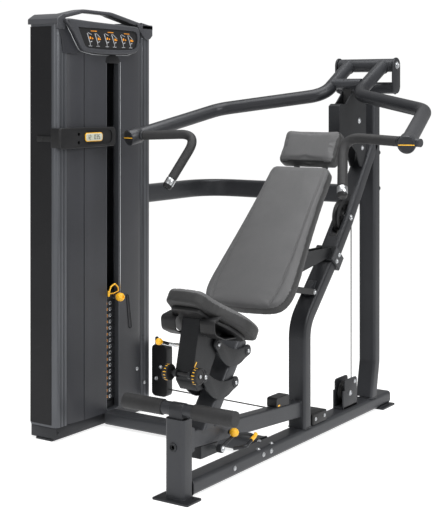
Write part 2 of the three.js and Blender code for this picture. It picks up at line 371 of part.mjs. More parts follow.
// ------------------------------------------------------------ weight tower
let base = prismX(rrect(TOWER_Y0 + 6, TOWER_Y1 - 6, 8, 60, 6, 2), TOWER_X0 + 8, TOWER_X1 - 2, 0);
for (const y of [352, 960]) base = base.add(prismZ(rrect(-975, -880, y - 18, y + 18, 6, 2), 0, 9));
base = base.add(box(STACK_X0 + 10, STACK_X1 - 10, 580, 830, 59, STACK_Z0 - GAP));
put('tower_base', base, FRAME);
put('tower_front_column', prismZ(rrect(TOWER_X0, TOWER_X1 + 6, TOWER_Y0, 396, 22), 60 + GAP, TOWER_Z1 - GAP), FRAME);
put('tower_rear_column', prismZ(rrect(TOWER_X0, TOWER_X1 + 4, 926, TOWER_Y1, 24), 60 + GAP, TOWER_Z1 - GAP), FRAME);
let cap = prismX([[TOWER_Y0 - 4, TOWER_Z1], [TOWER_Y0 - 4, 1806], [404, 1834], [404, TOWER_Z1]].reverse(), TOWER_X0 - 4, TOWER_X1 + 10, 5, 2).add(prismX([[920, TOWER_Z1], [920, 1812], [TOWER_Y1 + 4, 1800], [TOWER_Y1 + 4, TOWER_Z1]].reverse(), TOWER_X0 - 4, TOWER_X1 + 8, 5, 2));
const archLine = fillet([[390, 1820], [520, 1846], [700, 1846], [930, 1798]], [300, 300], 5);
put('top_handle', cap.add(prismX(strip(archLine, 22), -905, -862, 4, 1)), PANEL);
put('back_shroud', prismZ([[TOWER_X0 + 2, 398], [TOWER_X0 + 14, 398], [TOWER_X0 + 14, 924], [TOWER_X0 + 2, 924]], 60 + GAP, 1699), PANEL);
// near shroud: gently bowed panel with the tall slot for the selector
const bow = [[-884, 398], [-862, 398], [-852, 440], [-846, 506], [-844, 600], [-844, 800], [-848, 870], [-856, 924], [-880, 924], [-868, 870], [-858, 800], [-858, 600], [-862, 506], [-872, 440]];
put('front_shroud', prismZ(bow, 60 + GAP, 1720).subtract(prismX(rrect(SLOT_Y0, SLOT_Y1, SLOT_Z0 + 6, SLOT_Z1, 30, 4), -900, -820)), PANEL);
// placard hood: raised bezel over the top of the shroud
const hood = [[392, 1783], [404, 1770], [424, 1744], [440, 1718], [452, 1694], [470, 1674], [492, 1667], [568, 1662], [684, 1660], [804, 1665], [842, 1672], [858, 1684], [867, 1704], [871, 1730], [870, 1752], [862, 1770], [848, 1779], [800, 1783]];
put('placard_hood', prismX(hood, -843, -822, 5, 2).subtract(prismX(rrect(470, 850, 1688, 1770, 16, 3), -826, -800)), PANEL);
put('placard', prismX(rrect(470 + GAP, 850 - GAP, 1688 + GAP, 1770 - GAP, 15.7, 3), -826 + GAP, -823.4), SCREEN);

// repetition counter on a band round the front column
put('counter_band', box(TOWER_X0 - 12, -820, TOWER_Y0 - 12, 470, 1250, 1338).subtract(box(TOWER_X0 - GAP, -843.7, TOWER_Y0 - GAP, 600, 1200, 1400)).add(box(-843.4, -820, 464, 690, 1250, 1338)).subtract(cyl([-900, 440, 1306], [-800, 440, 1306], 7, 12)).subtract(cyl([-900, 440, 1276], [-800, 440, 1276], 7, 12)), BLACK);
put('counter_display', prismX(rrect(492, 592, 1272, 1318, 10, 2), -820 + GAP, -812, 2, 1), SCREEN);

// guide rods, stack and selector
let rods = box(TOWER_X0 + 20, -888, 396 + GAP, 926 - GAP, 1722, TOWER_Z1 - GAP);
for (const y of [605, 805]) rods = rods.add(cyl([ROD_X, y, STACK_Z0], [ROD_X, y, 1730], 10, 12));
put('guide_rods', rods, CHROME);
const rodHoles = (m) => m.subtract(cyl([ROD_X, 605, 0], [ROD_X, 605, 1800], 11, 12)).subtract(cyl([ROD_X, 805, 0], [ROD_X, 805, 1800], 11, 12));
const stackTop = STACK_Z0 + PLATES * PLATE_PITCH;
let stack = box(STACK_X0 + 3, STACK_X1 - 3, STACK_Y0 + 3, STACK_Y1 - 3, STACK_Z0, stackTop - 1);
for (let i = 0; i < PLATES; i++) stack = stack.add(box(STACK_X0, STACK_X1, STACK_Y0, STACK_Y1, STACK_Z0 + i * PLATE_PITCH, STACK_Z0 + i * PLATE_PITCH + PLATE_T));
for (let i = 0; i < PLATES; i++) stack = stack.subtract(cyl([ROD_X + 6, 707.5, STACK_Z0 + i * PLATE_PITCH + PLATE_T / 2], [STACK_X1 + 6, 707.5, STACK_Z0 + i * PLATE_PITCH + PLATE_T / 2], 6, 6));
stack = stack.subtract(cyl([ROD_X, 707.5, STACK_Z0 + 10], [ROD_X, 707.5, stackTop + 10], 12, 12));
put('weight_stack', rodHoles(stack), IRON);
let head = box(STACK_X0, STACK_X1, STACK_Y0, STACK_Y1, stackTop + GAP, stackTop + 34).add(cyl([ROD_X, 707.5, STACK_Z0 + 14], [ROD_X, 707.5, stackTop + 90], 10, 12));
head = rodHoles(head).subtract(cyl([ROD_X - 10, 707.5, stackTop + 17], [STACK_X1 + 6, 707.5, stackTop + 17], 6, 10));
put('head_plate', head, IRON);
put('lift_cable', cyl([ROD_X, 707.5, stackTop + 90 + GAP], [ROD_X, 707.5, 1722 - GAP], 3, 8), BLACK);
const PZ = stackTop + 17;
put('selector_pin', cyl([ROD_X - 4, 707.5, PZ], [-834, 707.5, PZ], 5, 12).add(cyl([-836, 707.5, PZ], [-822, 707.5, PZ], 9, 12)).add(ball([-806, 707.5, PZ], 18, 16)), YELLOW);

// corner pulley box at the foot of the tower
put('tower_pulley_box', prismY(rrect(-853, -764, 66, 308, 22, 3), 1000.5, 1046).add(cyl([-838, 1023, 300], [-838, 1023, 340], 8, 12)).subtract(box(-790, -760, 1010, 1034, 92, 110)), BLACK);

export default root;
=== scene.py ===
# Selectorised chest press: looks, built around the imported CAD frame. Metres in Blender, millimetres in the tables below.
import bpy, bmesh, math, random
from mathutils import Vector, Matrix


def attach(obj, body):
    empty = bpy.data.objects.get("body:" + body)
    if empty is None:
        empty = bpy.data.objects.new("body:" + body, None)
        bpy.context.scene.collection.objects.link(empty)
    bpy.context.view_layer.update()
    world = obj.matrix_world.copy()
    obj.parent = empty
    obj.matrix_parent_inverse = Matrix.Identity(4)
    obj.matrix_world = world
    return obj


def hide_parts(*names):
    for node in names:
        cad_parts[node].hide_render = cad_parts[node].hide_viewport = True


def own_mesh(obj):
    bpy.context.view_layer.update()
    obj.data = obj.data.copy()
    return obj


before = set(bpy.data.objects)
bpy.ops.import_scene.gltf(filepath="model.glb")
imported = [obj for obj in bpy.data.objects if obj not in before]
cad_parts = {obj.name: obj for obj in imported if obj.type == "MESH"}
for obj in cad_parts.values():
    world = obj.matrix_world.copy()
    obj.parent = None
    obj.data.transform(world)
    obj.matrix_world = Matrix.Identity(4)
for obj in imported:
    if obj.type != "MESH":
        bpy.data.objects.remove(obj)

MM = 0.001
rad = math.radians
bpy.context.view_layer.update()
COL = bpy.context.scene.collection
random.seed(7)

# ------------------------------------------------------------------ camera
cam_data = bpy.data.cameras.new("camera")
cam_data.sensor_width = 36.0
cam_data.lens = 84.46
cam_data.shift_x = 0.0
cam_data.shift_y = -0.3192
cam = bpy.data.objects.new("camera", cam_data)
cam.location = (2.620, -3.587, 1.484)
cam.rotation_euler = (rad(90), 0, rad(33.8))
COL.objects.link(cam)
bpy.context.scene.camera = cam

# ------------------------------------------------------------------ materials
class N:
    """A node tree with short names for the nodes used here."""
    def __init__(s, name):
        s.m = bpy.data.materials.new(name)
        s.m.use_nodes = True
        s.t = s.m.node_tree
        s.b = s.t.nodes["Principled BSDF"]
        s.c = s.new("ShaderNodeTexCoord")
    def new(s, kind, **kw):
        n = s.t.nodes.new(kind)
        for k, v in kw.items():
            setattr(n, k, v)
        return n
    def link(s, a, b):
        s.t.links.new(a, b)
    def scaled(s, scale):
        mp = s.new("ShaderNodeMapping")
        mp.inputs["Scale"].default_value = scale if hasattr(scale, "__len__") else (scale,) * 3
        s.link(s.c.outputs["Object"], mp.inputs["Vector"])
        return mp.outputs["Vector"]
    def noise(s, scale, detail=2.0, rough=0.5, vec=None, dist=0.0):
        n = s.new("ShaderNodeTexNoise")
        n.inputs["Scale"].default_value = 1.0 if vec is None and hasattr(scale, "__len__") else (scale if not hasattr(scale, "__len__") else 1.0)
        n.inputs["Detail"].default_value = detail
        n.inputs["Roughness"].default_value = rough
        n.inputs["Distortion"].default_value = dist
        s.link(vec if vec is not None else (s.scaled(scale) if hasattr(scale, "__len__") else s.c.outputs["Object"]), n.inputs["Vector"])
        return n.outputs["Fac"]
    def voronoi(s, scale, feature="F1", out="Distance"):
        n = s.new("ShaderNodeTexVoronoi", feature=feature)
        if hasattr(scale, "__len__"):
            n.inputs["Scale"].default_value = 1.0
            s.link(s.scaled(scale), n.inputs["Vector"])
        else:
            n.inputs["Scale"].default_value = scale
            s.link(s.c.outputs["Object"], n.inputs["Vector"])
        return n.outputs[out]
    def wave(s, scale, direction="Z", dist=0.0, profile="SIN"):
        n = s.new("ShaderNodeTexWave", bands_direction=direction, wave_profile=profile)
        n.inputs["Scale"].default_value = scale
        n.inputs["Distortion"].default_value = dist
        s.link(s.c.outputs["Object"], n.inputs["Vector"])
        return n.outputs["Fac"]
    def ramp(s, fac, stops, interp="LINEAR"):
        r = s.new("ShaderNodeValToRGB")
        r.color_ramp.interpolation = interp
        e = r.color_ramp.elements
        while len(e) < len(stops):
            e.new(0.5)
        for k, (p, c) in enumerate(stops):
            e[k].position = p
            e[k].color = (c, c, c, 1) if not hasattr(c, "__len__") else tuple(c) + (1,)
        s.link(fac, r.inputs["Fac"])
        return r.outputs["Color"]
    def mix(s, fac, a, b, mode="MIX"):
        n = s.new("ShaderNodeMix", data_type="RGBA", blend_type=mode)
        for sock, v in ((0, fac), (6, a), (7, b)):
            if hasattr(v, "is_linked"):
                s.link(v, n.inputs[sock])
            elif sock == 0:
                n.inputs[0].default_value = v
            else:
                n.inputs[sock].default_value = tuple(v) + (1,)
        return n.outputs[2]
    def math(s, op, a, b=0.0):
        n = s.new("ShaderNodeMath", operation=op)
        for i, v in enumerate((a, b)):
            if hasattr(v, "is_linked"):
                s.link(v, n.inputs[i])
            else:
                n.inputs[i].default_value = v
        return n.outputs[0]
    # Pointiness mask of convex edges: it drives the painted edge highlight in powder() and plastic(), and the paint
    # chips on the stack plates.
    def edge(s, lo=0.52, hi=0.60):
        g = s.new("ShaderNodeNewGeometry")
        return s.ramp(g.outputs["Pointiness"], [(lo, 0.0), (hi, 1.0)])
    def bump(s, layers):
        prev = None
        for height, strength, dist in layers:
            n = s.new("ShaderNodeBump")
            n.inputs["Strength"].default_value = strength
            n.inputs["Distance"].default_value = dist
            s.link(height, n.inputs["Height"])
            if prev is not None:
                s.link(prev, n.inputs["Normal"])
            prev = n.outputs["Normal"]
        s.link(prev, s.b.inputs["Normal"])
    def rough(s, fac, lo, hi):
        r = s.new("ShaderNodeMapRange")
        r.inputs["To Min"].default_value = lo
        r.inputs["To Max"].default_value = hi
        s.link(fac, r.inputs["Value"])
        s.link(r.outputs["Result"], s.b.inputs["Roughness"])
    def colour(s, c):
        s.link(c, s.b.inputs["Base Color"])
    def set(s, **kw):
        for k, v in kw.items():
            s.b.inputs[k.replace("_", " ")].default_value = v

def lin(h):
    v = [int(h[i:i + 2], 16) / 255 for i in (1, 3, 5)]
    return tuple(x / 12.92 if x <= 0.04045 else ((x + 0.055) / 1.055) ** 2.4 for x in v)

def powder(name, dark, light, metal=0.35, r=(0.36, 0.50)):
    n = N(name)
    broad = n.noise(3.2, 3.0, 0.55)
    col = n.mix(n.ramp(broad, [(0.3, 0.0), (0.7, 1.0)]), lin(dark), lin(light))
    speck = n.ramp(n.noise(1900.0, 1.0), [(0.60, 0.0), (0.72, 1.0)])
    col = n.mix(n.math("MULTIPLY", speck, 0.22), col, lin("#5d5f63"))
    scuff = n.ramp(n.noise((26, 26, 90), 5.0, 0.7), [(0.66, 0.0), (0.74, 1.0)])
    col = n.mix(n.math("MULTIPLY", scuff, 0.07), col, lin("#77787b"))
    # Lighter convex edges: a painted edge highlight.
    col = n.mix(n.math("MULTIPLY", n.edge(), 0.20), col, lin("#6a6c70"))
    n.colour(col)
    n.rough(n.noise(14.0, 4.0, 0.6), *r)
    n.bump([(n.noise(260.0, 2.0), 0.10, 0.0012), (n.noise(1500.0, 2.0), 0.16, 0.0004)])
    n.set(Metallic=metal)
    return n.m

def plastic(name, dark, light, grain=900.0, r=(0.42, 0.56), bump=0.20, edge="#58595c"):
    n = N(name)
    col = n.mix(n.ramp(n.noise(5.0, 3.0, 0.6), [(0.3, 0.0), (0.7, 1.0)]), lin(dark), lin(light))
    dust = n.ramp(n.noise((9, 9, 34), 6.0, 0.72), [(0.60, 0.0), (0.78, 1.0)])
    col = n.mix(n.math("MULTIPLY", dust, 0.05), col, lin("#77777a"))
    # Lighter convex edges in the colour edge: a painted edge highlight.
    col = n.mix(n.math("MULTIPLY", n.edge(), 0.25), col, lin(edge))
    n.colour(col)
    n.rough(n.noise(22.0, 4.0, 0.6), *r)
    n.bump([(n.voronoi(grain), bump, 0.0005), (n.noise(120.0, 2.0), 0.05, 0.001)])
    return n.m

def rubber(name):
    n = N(name)
    col = n.mix(n.ramp(n.noise(8.0, 4.0, 0.6), [(0.3, 0.0), (0.7, 1.0)]), lin("#1a1a1b"), lin("#232324"))
    worn = n.ramp(n.noise(30.0, 5.0, 0.7), [(0.58, 0.0), (0.74, 1.0)])
    col = n.mix(n.math("MULTIPLY", worn, 0.18), col, lin("#5a5a5b"))
    n.colour(col)
    n.rough(n.noise(60.0, 3.0, 0.6), 0.55, 0.78)
    n.bump([(n.voronoi(520.0), 0.34, 0.0006), (n.noise(1600.0, 2.0), 0.22, 0.0003)])
    return n.m

def vinyl(name, dark, light, grain=780.0):
    n = N(name)
    col = n.mix(n.ramp(n.noise(4.5, 4.0, 0.6), [(0.3, 0.0), (0.7, 1.0)]), lin(dark), lin(light))
    pore = n.ramp(n.voronoi(grain, "DISTANCE_TO_EDGE"), [(0.0, 0.0), (0.09, 1.0)])
    # Darker grain grooves: painted shade in the creases of the grain.
    col = n.mix(n.math("MULTIPLY", n.math("SUBTRACT", 1.0, pore), 0.30), col, tuple(0.45 * x for x in lin(dark)))
    rub = n.ramp(n.noise((10, 5, 5), 5.0, 0.65), [(0.56, 0.0), (0.76, 1.0)])
    col = n.mix(n.math("MULTIPLY", rub, 0.12), col, tuple(min(1.0, 1.6 * x) for x in lin(light)))
    n.colour(col)
    n.rough(n.noise(40.0, 4.0, 0.6), 0.52, 0.68)
    n.bump([(n.noise(34.0, 3.0, 0.5), 0.12, 0.0016), (pore, 0.30, 0.00035), (n.noise(1500.0, 1.0), 0.14, 0.0002)])
    n.set(Sheen_Weight=0.12, Sheen_Roughness=0.45)
    return n.m

def metal(name, base, r=(0.14, 0.26), brushed=(40, 40, 900)):
    n = N(name)
    brush = n.noise(brushed, 3.0, 0.6)
    col = n.mix(n.ramp(brush, [(0.3, 0.0), (0.7, 1.0)]), lin(base), tuple(min(1.0, x * 1.18) for x in lin(base)))
    tarn = n.ramp(n.noise(55.0, 5.0, 0.7), [(0.60, 0.0), (0.76, 1.0)])
    col = n.mix(n.math("MULTIPLY", tarn, 0.20), col, lin("#77777a"))
    n.colour(col)
    n.rough(n.noise(48.0, 4.0, 0.6), *r)
    n.bump([(brush, 0.06, 0.0003)])
    n.set(Metallic=1.0)
    return n.m

def stack_iron(name):
    n = N(name)
    col = n.mix(n.ramp(n.noise(7.0, 4.0, 0.6), [(0.3, 0.0), (0.7, 1.0)]), lin("#1f2022"), lin("#2c2d30"))
    chip = n.ramp(n.noise(70.0, 6.0, 0.75), [(0.64, 0.0), (0.70, 1.0)])
    col = n.mix(n.math("MULTIPLY", chip, n.edge(0.50, 0.56)), col, lin("#8d8e90"))
    n.colour(col)
    n.rough(n.noise(30.0, 4.0, 0.6), 0.30, 0.52)
    n.bump([(n.noise(420.0, 3.0), 0.22, 0.0005)])
    n.set(Metallic=0.55)
    return n.m

def paint(name, base, light, r=(0.32, 0.48)):
    n = N(name)
    col = n.mix(n.ramp(n.noise(60.0, 4.0, 0.6), [(0.3, 0.0), (0.7, 1.0)]), lin(base), lin(light))
    grime = n.ramp(n.noise(140.0, 5.0, 0.7), [(0.60, 0.0), (0.80, 1.0)])
    col = n.mix(n.math("MULTIPLY", grime, 0.16), col, lin("#6d5526"))
    n.colour(col)
    n.rough(n.noise(90.0, 3.0, 0.6), *r)
    n.bump([(n.noise(900.0, 2.0), 0.12, 0.0003)])
    return n.m

def cable_skin(name):
    n = N(name)
    col = n.mix(n.ramp(n.noise(120.0, 3.0, 0.6), [(0.3, 0.0), (0.7, 1.0)]), lin("#161617"), lin("#262627"))
    n.colour(col)
    n.rough(n.noise(200.0, 3.0, 0.6), 0.32, 0.50)
    n.bump([(n.noise(1200.0, 2.0), 0.15, 0.0003)])
    return n.m

# The last colour given to plastic() below is its painted edge highlight.
M = {
    "frame": powder("frame_powder_coat", "#232427", "#2a2b2e", 0.30, (0.34, 0.46)),
    "arm": powder("arm_powder_coat", "#222326", "#292a2d", 0.30, (0.32, 0.44)),
    "column": powder("column_extrusion", "#484a4e", "#515357", 0.45, (0.26, 0.38)),
    "facia": plastic("column_facia", "#101012", "#151517", 1100.0, (0.36, 0.48), 0.12, "#3a3a3c"),
    "black": plastic("black_plastic", "#141415", "#1a1a1b", 900.0, (0.36, 0.50), 0.18, "#3a3a3c"),
    "darkmetal": powder("black_steel", "#1d1e20", "#242527", 0.35, (0.34, 0.46)),
    "shroud": plastic("shroud_plastic", "#26272a", "#2c2d31", 1000.0, (0.30, 0.42), 0.14, "#55565a"),
    "hood": plastic("hood_plastic", "#36373a", "#3d3e42", 1000.0, (0.30, 0.42), 0.14, "#66676b"),
    "rubber": rubber("grip_rubber"),
    "vinyl": vinyl("upholstery", "#4a4a4b", "#525253"),
    # Darker copy of the upholstery for the pads' sides and ends: painted shade.
    "vinyl_shaded_side": vinyl("upholstery_painted_shade", "#161616", "#1d1d1e"),
    "thread": vinyl("seam_thread", "#2c2c2d", "#363637", 2000.0),
    "chrome": metal("chrome", "#d6d8da"),
    "steel": metal("zinc_steel", "#b9bbbd", (0.22, 0.36)),
    "iron": stack_iron("stack_steel"),
    "cable": cable_skin("cable_black"),
    "yellow": paint("yellow_accent", "#f3b01a", "#f9c136"),
    "orange": paint("orange_ink", "#d98512", "#e69522"),
    "ink": plastic("grey_ink", "#8f9093", "#a5a6a8", 1200.0, (0.4, 0.5), 0.08, "#a5a6a8"),
    "screen": plastic("display_glass", "#b4b6a6", "#c2c4b4", 1500.0, (0.10, 0.18), 0.03),
    "digit": plastic("display_digits", "#2a2b28", "#34352f", 1500.0, (0.20, 0.30), 0.03),
}
for k_, v_ in (("facia", 0.2), ("black", 0.3), ("frame", 0.34), ("arm", 0.36), ("shroud", 0.3), ("hood", 0.36), ("darkmetal", 0.3)):
    M[k_].node_tree.nodes["Principled BSDF"].inputs["Specular IOR Level"].default_value = v_

# ------------------------------------------------------------------ mesh helpers
def rrect(a0, a1, b0, b1, r, n=6):
    out = []
    for x, y, t in ((a1 - r, b0 + r, -90), (a1 - r, b1 - r, 0), (a0 + r, b1 - r, 90), (a0 + r, b0 + r, 180)):
        for i in range(n + 1):
            q = rad(t + 90 * i / n)
            out.append((x + r * math.cos(q), y + r * math.sin(q)))
    return out

def circle(c, r, n=24, a0=0, a1=360):
    full = a1 - a0 == 360
    return [(c[0] + r * math.cos(rad(a0 + (a1 - a0) * i / n)), c[1] + r * math.sin(rad(a0 + (a1 - a0) * i / n))) for i in range(n if full else n + 1)]

def capsule(a, b, ra, rb, n=12):
    t = math.degrees(math.atan2(b[1] - a[1], b[0] - a[0]))
    return circle(b, rb, n, t - 90, t + 90) + circle(a, ra, n, t + 90, t + 270)

def fillet(pts, r, n=10):
    """Centre line with rounded corners, 2-D or 3-D: the same curve as the CAD, with more steps."""
    pts = [tuple(p) for p in pts]
    out = [pts[0]]
    for i in range(1, len(pts) - 1):
        p, c, q = pts[i - 1], pts[i], pts[i + 1]
        u = [a - b for a, b in zip(p, c)]; v = [a - b for a, b in zip(q, c)]
        lu, lv = math.hypot(*u), math.hypot(*v)
        cosv = sum(a * b for a, b in zip(u, v)) / lu / lv
        half = math.acos(max(-1, min(1, cosv))) / 2
        rr = r[i - 1] if hasattr(r, "__len__") else r
        t = min(rr / math.tan(half), lu * 0.49, lv * 0.49)
        a = [k + x / lu * t for k, x in zip(c, u)]; b = [k + x / lv * t for k, x in zip(c, v)]
        for s in range(n + 1):
            w = s / n
            out.append(tuple((1 - w) ** 2 * x + 2 * w * (1 - w) * k + w * w * y for x, k, y in zip(a, c, b)))
    out.append(pts[-1])
    return out

def smooth_closed(pts, n=4):
    """Catmull-Rom through a closed outline."""
    out, k = [], len(pts)
    for i in range(k):
        p0, p1, p2, p3 = (pts[(i + j - 1) % k] for j in range(4))
        for s in range(n):
            t = s / n
            out.append(tuple(0.5 * (2 * b + (c - a) * t + (2 * a - 5 * b + 4 * c - d) * t * t + (3 * b - a - 3 * c + d) * t ** 3) for a, b, c, d in zip(p0, p1, p2, p3)))
    return out

PLANES = {"X": lambda a, b, h: (h, a, b), "Y": lambda a, b, h: (a, h, b), "Z": lambda a, b, h: (a, b, h)}

class B:
    """Collects solids, in millimetres, into one mesh."""
    def __init__(s):
        s.bm = bmesh.new()
    def add(s, verts, faces):
        vs = [s.bm.verts.new(Vector(v) * MM) for v in verts]
        fs = []
        for f in faces:
            fs.append(s.bm.faces.new([vs[i] for i in f]))
        bmesh.ops.recalc_face_normals(s.bm, faces=fs)
        return s
    def loft(s, rings, caps=True, loop=False):
        k = len(rings[0])
        verts = [v for r in rings for v in r]
        faces = []
        last = len(rings) if loop else len(rings) - 1
        for i in range(last):
            a, b = i * k, ((i + 1) % len(rings)) * k
            for j in range(k):
                faces.append((a + j, a + (j + 1) % k, b + (j + 1) % k, b + j))
        if caps and not loop:
            faces.append(tuple(range(k))[::-1])
            faces.append(tuple(range((len(rings) - 1) * k, len(rings) * k)))
        return s.add(verts, faces)
    def prism(s, pts, axis, h0, h1, e=0.0, steps=3, M=None):
        """Outline pushed from h0 to h1 along an axis, with rounded rims of radius e."""
        f = PLANES[axis] if M is None else (lambda a, b, h: tuple(M @ Vector((a, b, h))))
        if e <= 0:
            return s.loft([[f(a, b, h) for a, b in pts] for h in (h0, h1)])
        rings = []
        prof = [(e * (1 - math.sin(rad(90 * i / steps))), e * (1 - math.cos(rad(90 * i / steps)))) for i in range(steps + 1)]
        prof = [(ins, dh) for ins, dh in prof]
        for ins, dh in prof:
            rings.append([f(a, b, h0 + (e - dh if False else dh) ) for a, b in inset(pts, e - ins if False else ins)])
        rings = [[f(a, b, h0 + e * (1 - math.cos(rad(90 * (1 - i / steps)))) if False else h0 + e * (1 - math.sin(rad(90 * i / steps)))) for a, b in inset(pts, e * (1 - math.cos(rad(90 * i / steps))))] for i in range(steps, -1, -1)]
        rings += [[f(a, b, h1 - e * (1 - math.sin(rad(90 * i / steps)))) for a, b in inset(pts, e * (1 - math.cos(rad(90 * i / steps))))] for i in range(0, steps + 1)]
        return s.loft(rings)
    def strip(s, line, depth, axis, h0, h1, r, n=6):
        """Rounded tube that follows a 2-D line in a plane; its other side runs from h0 to h1 along the axis."""
        f = PLANES[axis]
        prof = rrect(-depth / 2, depth / 2, h0, h1, r, n)
        rings = []
        for i, p in enumerate(line):
            a, b = line[max(0, i - 1)], line[min(len(line) - 1, i + 1)]
            d = (b[0] - a[0], b[1] - a[1]); l = math.hypot(*d); nn = (-d[1] / l, d[0] / l)
            rings.append([f(p[0] + nn[0] * u, p[1] + nn[1] * u, h) for u, h in prof])
        return s.loft(rings)
    def tube(s, pts, r, n=24, taper=None):
        """Round tube on a 3-D line; r may be a list, one radius a point."""
        P = [Vector(p) for p in pts]
        t0 = (P[1] - P[0]).normalized()
        up = t0.orthogonal().normalized()
        rings = []
        for i, p in enumerate(P):
            t = (P[min(len(P) - 1, i + 1)] - P[max(0, i - 1)]).normalized()
            up = (up - t * up.dot(t)).normalized()
            side = t.cross(up)
            rr = r[i] if hasattr(r, "__len__") else r
            rings.append([tuple(p + (up * math.cos(2 * math.pi * j / n) + side * math.sin(2 * math.pi * j / n)) * rr) for j in range(n)])
        return s.loft(rings)
    def lathe(s, p, d, profile, n=32):
        """Profile of (distance along d, radius) turned about the line from p along d."""
        p, d = Vector(p), Vector(d).normalized()
        u = d.orthogonal().normalized(); v = d.cross(u)
        rings = []
        for t, r in profile:
            r = max(r, 0.01)
            rings.append([tuple(p + d * t + (u * math.cos(2 * math.pi * j / n) + v * math.sin(2 * math.pi * j / n)) * r) for j in range(n)])
        return s.loft(rings)
    def ring(s, p, d, R, r, n=48, m=12):
        """Torus."""
        p, d = Vector(p), Vector(d).normalized()
        u = d.orthogonal().normalized(); v = d.cross(u)
        rings = []
        for i in range(n):
            e = u * math.cos(2 * math.pi * i / n) + v * math.sin(2 * math.pi * i / n)
            rings.append([tuple(p + e * (R + r * math.cos(2 * math.pi * j / m)) + d * r * math.sin(2 * math.pi * j / m)) for j in range(m)])
        return s.loft(rings, loop=True)
    def pipe(s, p, d, profile, n=32):
        """Closed loop of (distance, radius) turned about an axis: a body with a hole through it."""
        p, d = Vector(p), Vector(d).normalized()
        u = d.orthogonal().normalized(); v = d.cross(u)
        rings = [[tuple(p + d * t + (u * math.cos(2 * math.pi * j / n) + v * math.sin(2 * math.pi * j / n)) * r) for j in range(n)] for t, r in profile]
        return s.loft(rings, loop=True)
    def mesh(s, name):
        me = bpy.data.meshes.new(name)
        s.bm.to_mesh(me); s.bm.free()
        return me
    def done(s, name, m, body="frame", repl=(), bevel=0.0, seg=3, angle=32, sharp=34, slot=None):
        me = s.mesh(name)
        o = bpy.data.objects.new(name, me)
        COL.objects.link(o)
        me.materials.append(M[m])
        return dress(o, body, repl, bevel, seg, angle, sharp)

def inset(pts, e):
    """Outline moved inwards by e along its own corner normals (counter-clockwise or clockwise)."""
    if e == 0:
        return list(pts)
    k = len(pts)
    area = sum(pts[i][0] * pts[(i + 1) % k][1] - pts[(i + 1) % k][0] * pts[i][1] for i in range(k))
    sgn = 1 if area > 0 else -1
    out = []
    for i in range(k):
        p, c, q = pts[i - 1], pts[i], pts[(i + 1) % k]
        d1 = (c[0] - p[0], c[1] - p[1]); d2 = (q[0] - c[0], q[1] - c[1])
        l1, l2 = math.hypot(*d1) or 1, math.hypot(*d2) or 1
        n1 = (-d1[1] / l1 * sgn, d1[0] / l1 * sgn); n2 = (-d2[1] / l2 * sgn, d2[0] / l2 * sgn)
        b = (n1[0] + n2[0], n1[1] + n2[1]); l = math.hypot(*b) or 1
        b = (b[0] / l, b[1] / l)
        kk = max(0.5, b[0] * n1[0] + b[1] * n1[1])
        out.append((c[0] + b[0] * e / kk, c[1] + b[1] * e / kk))
    return out

def dress(o, body, repl=(), bevel=0.0, seg=3, angle=32, sharp=34):
    me = o.data
    me.polygons.foreach_set("use_smooth", [True] * len(me.polygons))
    if bevel:
        b = o.modifiers.new("bevel", "BEVEL")
        b.width = bevel * MM; b.segments = seg; b.limit_method = "ANGLE"; b.angle_limit = rad(angle)
        b.use_clamp_overlap = True
        o.modifiers.new("normals", "WEIGHTED_NORMAL")
    else:
        me.set_sharp_from_angle(angle=rad(sharp))
    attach(o, body)
    if repl:
        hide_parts(*([repl] if isinstance(repl, str) else repl))
    return o

def cut(o, *cutters):
    """Subtracts closed solids from a mesh and keeps the result."""
    for c in cutters:
        t = bpy.data.objects.new("cutter", c.mesh("cutter"))
        COL.objects.link(t)
        md = o.modifiers.new("cut", "BOOLEAN")
        md.operation = "DIFFERENCE"; md.solver = "EXACT"; md.object = t
        while o.modifiers[0] != md:
            o.modifiers.move(o.modifiers.find("cut"), 0)
        others = [(x, x.show_viewport) for x in o.modifiers if x != md]
        for x, _ in others:
            x.show_viewport = False
        dg = bpy.context.evaluated_depsgraph_get(); dg.update()
        me = bpy.data.meshes.new_from_object(o.evaluated_get(dg))
        o.modifiers.remove(md)
        for x, v in others:
            x.show_viewport = v
        old = o.data; o.data = me
        bpy.data.meshes.remove(old)
        bpy.data.objects.remove(t)
    return o

def keep(node, m, bevel=1.0, angle=40, seg=2):
    """A CAD node that stays: its material, and rounded edges by modifier."""
    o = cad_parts[node]
    me = o.data
    me.materials.clear(); me.materials.append(M[m])
    if "custom_normal" in me.attributes:
        me.attributes.remove(me.attributes["custom_normal"])
    me.polygons.foreach_set("use_smooth", [True] * len(me.polygons))
    w = o.modifiers.new("weld", "WELD"); w.merge_threshold = 0.00004
    if bevel:
        b = o.modifiers.new("bevel", "BEVEL")
        b.width = bevel * MM; b.segments = seg; b.limit_method = "ANGLE"; b.angle_limit = rad(angle)
    o.modifiers.new("normals", "WEIGHTED_NORMAL")
    return o

def bolt(b, p, d, r=8.0, h=6.0, hexr=None):
    """Button-head socket bolt on a washer, standing on a face at p and facing d."""
    d = Vector(d).normalized(); p = Vector(p)
    b.lathe(p - d * 1.0, d, [(0, r * 1.35), (1.9, r * 1.35), (2.2, r * 1.28)], 28)
    dome = [(2.0, r), (2.0 + h * 0.45, r), (2.0 + h * 0.78, r * 0.86), (2.0 + h, r * 0.62), (2.0 + h, r * 0.48), (2.0 + h * 0.45, r * 0.46)]
    b.lathe(p - d * 1.0, d, dome, 28)

def hexbolt(b, p, d, r=9.0, h=6.0):
    d = Vector(d).normalized(); p = Vector(p)
    b.lathe(p - d * 1.0, d, [(0, r * 1.5), (2.0, r * 1.5), (2.3, r * 1.42)], 28)
    b.lathe(p + d * 1.0, d, [(0, r), (h * 0.8, r), (h, r * 0.86)], 6)
    b.lathe(p + d * (1.0 + h), d, [(0, r * 0.55), (2.5, r * 0.52), (3.2, r * 0.42)], 20)

